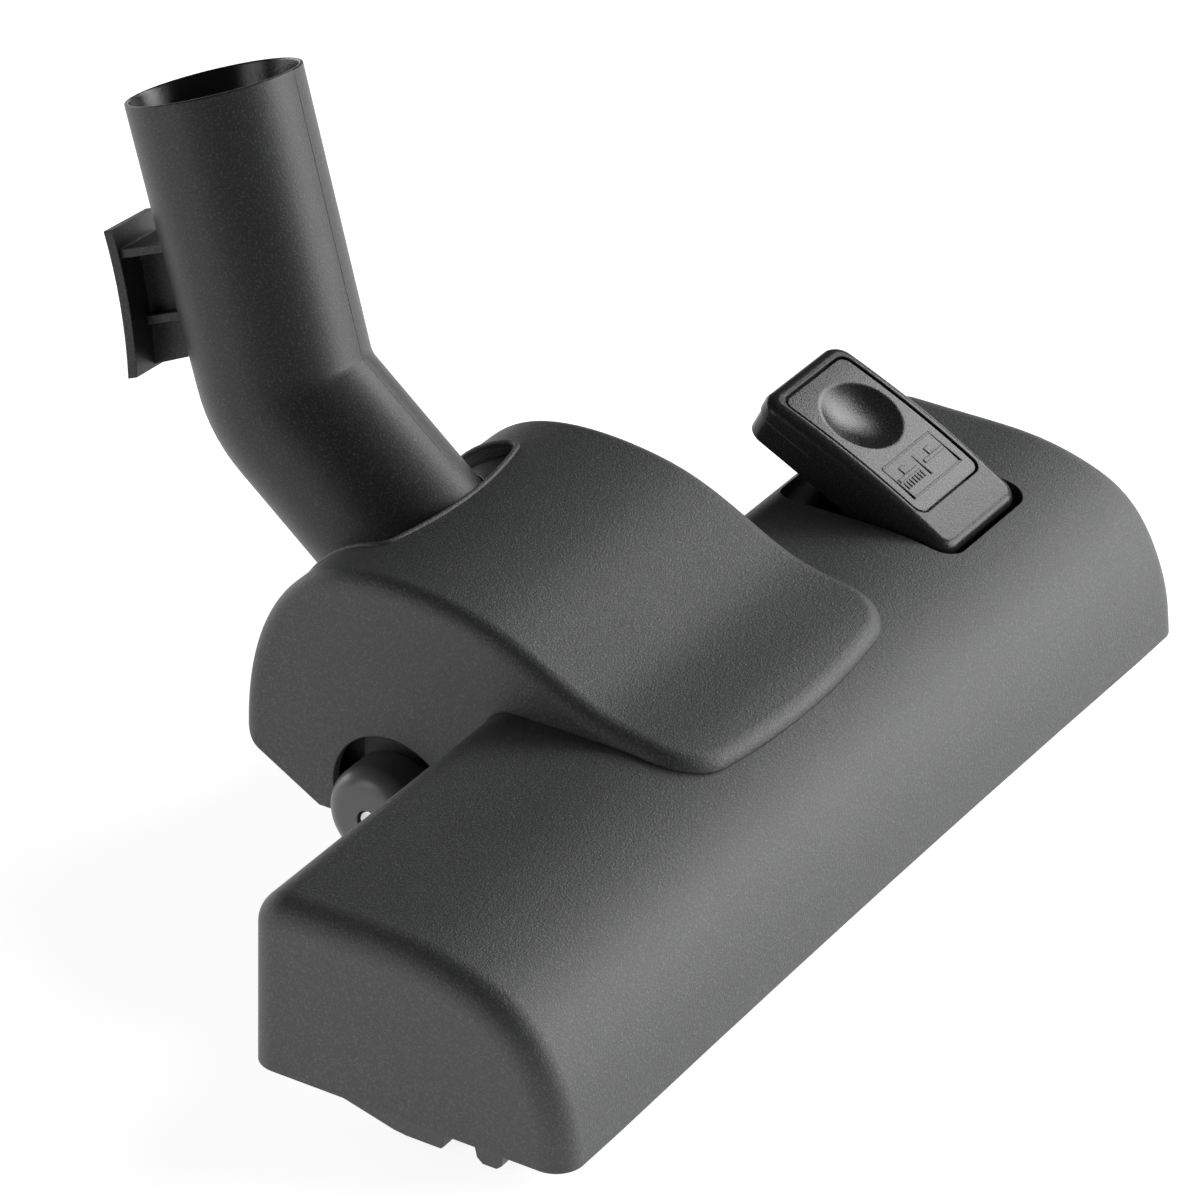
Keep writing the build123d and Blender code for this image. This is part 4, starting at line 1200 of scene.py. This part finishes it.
class RunningGear(Assembly):
    """Wheels and their axle pins."""

    finishes: ClassVar[dict[str, str]] = {
        "left_wheel": "wheel_plastic", "left_axle": "axle_steel",
        "right_wheel": "wheel_plastic", "right_axle": "axle_steel",
    }


@dataclass(frozen=True)
class SoftBox:
    """One soft light. Sizes in metres, power in watts."""

    name: str
    place: Triple
    size: Pair
    power: float

    def hang(self, aim: Triple) -> None:
        """Hangs the light.

        Args:
            aim: The point that it faces.
        """
        lamp = bpy.data.lights.new(self.name, "AREA")
        lamp.shape = "RECTANGLE"
        lamp.size, lamp.size_y = self.size
        lamp.energy = self.power
        made = bpy.data.objects.new(self.name, lamp)
        made.location = self.place
        made.rotation_euler = (Vector(aim) - Vector(self.place)).to_track_quat("-Z", "Y").to_euler()
        bpy.context.scene.collection.objects.link(made)


@dataclass
class Studio:
    """Pale floor, soft lights and the camera of the product picture.

    Sizes are in metres, and those of lens and sensor in millimetres.
    """

    eye: Triple = (-1.0455, -0.6332, 0.7807)
    right: Triple = (0.5385, -0.8426, 0.0)
    up: Triple = (0.4265, 0.2726, 0.8624)
    back: Triple = (-0.7267, -0.4644, 0.5062)
    lens: float = 195.0
    sensor: float = 36.0
    farthest: float = 20.0
    floor_half: float = 4.0
    floor_colour: Colour = (0.62, 0.62, 0.617)
    floor_shade: float = 0.985
    floor_mottle: float = 3.0
    floor_roughness: float = 0.7
    floor_glow: float = 0.86
    sky: float = 0.06
    aim: Triple = (0.0, 0.03, 0.05)

    lamps: ClassVar[tuple[SoftBox, ...]] = (
        SoftBox("front_box", (0.8, -0.95, 0.38), (0.95, 0.7), 17.0),
        SoftBox("right_box", (1.0, -0.2, 0.64), (0.5, 0.5), 6.5),
        SoftBox("left_strip", (-1.0, 0.6, 0.35), (0.5, 0.6), 2.5),
        SoftBox("rear_strip", (0.15, 1.4, 0.2), (1.4, 0.36), 5.5),
    )

    def _floor(self) -> None:
        """Lays the floor."""
        bm = bmesh.new()
        bmesh.ops.create_grid(bm, x_segments=1, y_segments=1, size=self.floor_half)
        mesh = bpy.data.meshes.new("floor")
        bm.to_mesh(mesh)
        bm.free()
        made = bpy.data.objects.new("floor", mesh)
        bpy.context.scene.collection.objects.link(made)
        material, w, shader = start_material("pale_floor")
        mottle = w.noise(w.object_place(), self.floor_mottle, detail=2.0, roughness=0.5)
        shade = w.blend(mottle, opaque(self.floor_colour, self.floor_shade), opaque(self.floor_colour))
        w.put(shade, shader.inputs["Base Color"])
        shader.inputs["Roughness"].default_value = self.floor_roughness
        shader.inputs["Emission Color"].default_value = WHITE
        shader.inputs["Emission Strength"].default_value = self.floor_glow
        mesh.materials.append(material)

    def _sky(self) -> None:
        """Lights the whole room a little."""
        world = bpy.data.worlds.new("studio")
        world.use_nodes = True
        glow = world.node_tree.nodes["Background"]
        glow.inputs["Color"].default_value = WHITE
        glow.inputs["Strength"].default_value = self.sky
        bpy.context.scene.world = world
        bpy.context.scene.view_settings.view_transform = "Standard"

    def _camera(self) -> None:
        """Sets up the camera."""
        lens = bpy.data.cameras.new("camera")
        lens.lens = self.lens
        lens.sensor_width = self.sensor
        lens.clip_end = self.farthest
        made = bpy.data.objects.new("camera", lens)
        made.matrix_world = placed(Vector(self.right), Vector(self.up), Vector(self.back), Vector(self.eye))
        bpy.context.scene.collection.objects.link(made)
        bpy.context.scene.camera = made

    def build(self) -> None:
        """Builds floor, lights, sky and camera."""
        self._floor()
        for lamp in self.lamps:
            lamp.hang(self.aim)
        self._sky()
        self._camera()


def stocks() -> dict[str, Stock]:
    """Lists every finish of the head.

    Returns:
        The stocks by name.
    """
    plain = {
        "shell": MouldedPlastic(
            "shell_plastic", (0.050, 0.053, 0.051), roughness=0.5, grain_depth=0.00024, fleck=0.45,
        ),
        "cover": MouldedPlastic(
            "cover_plastic", (0.040, 0.043, 0.041), roughness=0.5, grain_depth=0.00024, fleck=0.45,
            edge=0.0006,
        ),
        "rear_shell": MouldedPlastic("rear_plastic", (0.045, 0.047, 0.046), roughness=0.5, fleck=0.15),
        "sole": MouldedPlastic(
            "sole_plastic", (0.05, 0.052, 0.05), roughness=0.38, grain_depth=0.00003, rub=0.5,
        ),
        "inner_plastic": MouldedPlastic("inner_plastic", (0.09, 0.09, 0.09), fleck=0.1),
        "brush_back": MouldedPlastic("brush_back_plastic", (0.06, 0.06, 0.06), roughness=0.45, fleck=0.1),
        "pedal_gloss": MouldedPlastic(
            "pedal_satin_gloss", (0.02, 0.021, 0.02), roughness=0.2, grain_depth=0.00009, fleck=0.15,
            rub=0.35, specular=0.24,
        ),
        "pedal_grain": MouldedPlastic(
            "pedal_panel_grain", (0.010, 0.011, 0.010), roughness=0.14, grain_scale=3000.0,
            grain_depth=0.00006, fleck=0.2, specular=0.3,
        ),
        "knuckle_plastic": MouldedPlastic("knuckle_satin", (0.034, 0.036, 0.035), roughness=0.4, fleck=0.1),
        "tube_satin": BoredPlastic(
            "tube_satin_plastic", (0.0155, 0.017, 0.016), roughness=0.45, grain_depth=0.00007, fleck=0.25,
            edge=0.0005, specular=0.4,
        ),
        "seal_rubber": MouldedPlastic(
            "seal_soft_rubber", (0.02, 0.02, 0.02), roughness=0.7, fleck=0.05, sheen=0.2,
        ),
        "wheel_plastic": MouldedPlastic(
            "wheel_satin_plastic", (0.095, 0.097, 0.095), roughness=0.33, grain_depth=0.00003, fleck=0.1,
        ),
        "shaft_steel": DrawnSteel("drawn_shaft", roughness=0.32, stretch=(200.0, 2500.0, 2500.0)),
        "spring_steel": DrawnSteel("spring_wire", (0.5, 0.5, 0.5), stretch=(900.0, 900.0, 2500.0)),
        "axle_steel": DrawnSteel("bright_axle", (0.7, 0.7, 0.68), roughness=0.22),
        "screw_steel": DrawnSteel(
            "zinc_screw", (0.52, 0.52, 0.5), roughness=0.35, stretch=(1500.0, 1500.0, 1500.0),
        ),
        "bristle": Filament(
            "nylon_bristle", (0.02, 0.02, 0.02), (0.07, 0.07, 0.068), low_z=2.6, high_z=8.0, roughness=0.4,
        ),
        "velvet": Filament(
            "velvet_pile", (0.12, 0.012, 0.018), (0.26, 0.03, 0.04), low_z=0.2, high_z=0.9, roughness=0.8,
            sheen=0.8,
        ),
    }
    # A stock has the name of the record's slot, apart from the shaft's.
    slots = {"shaft_steel": "steel"}
    return {name: Stock(finish, slots.get(name, name)) for name, finish in plain.items()}


def main() -> None:
    """Builds every sub-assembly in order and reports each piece."""
    logging.basicConfig(level=logging.INFO, format="%(name)s: %(message)s")
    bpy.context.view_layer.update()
    rack = Rack(SharedEffects.build(), stocks())
    Studio().build()
    log.info("studio built")
    for assembly in (Casings(), ToePedal(), Elbow(), LiftingBrushes(), LintStrips(), RunningGear()):
        assembly.dress(rack)
        for node, name in assembly.finishes.items():
            log.info("%s finished in %s", node, name)
        for piece in assembly.build(rack):
            log.info("%s built with %d faces", piece.name, len(piece.data.polygons))


if __name__ == "__main__":
    main()
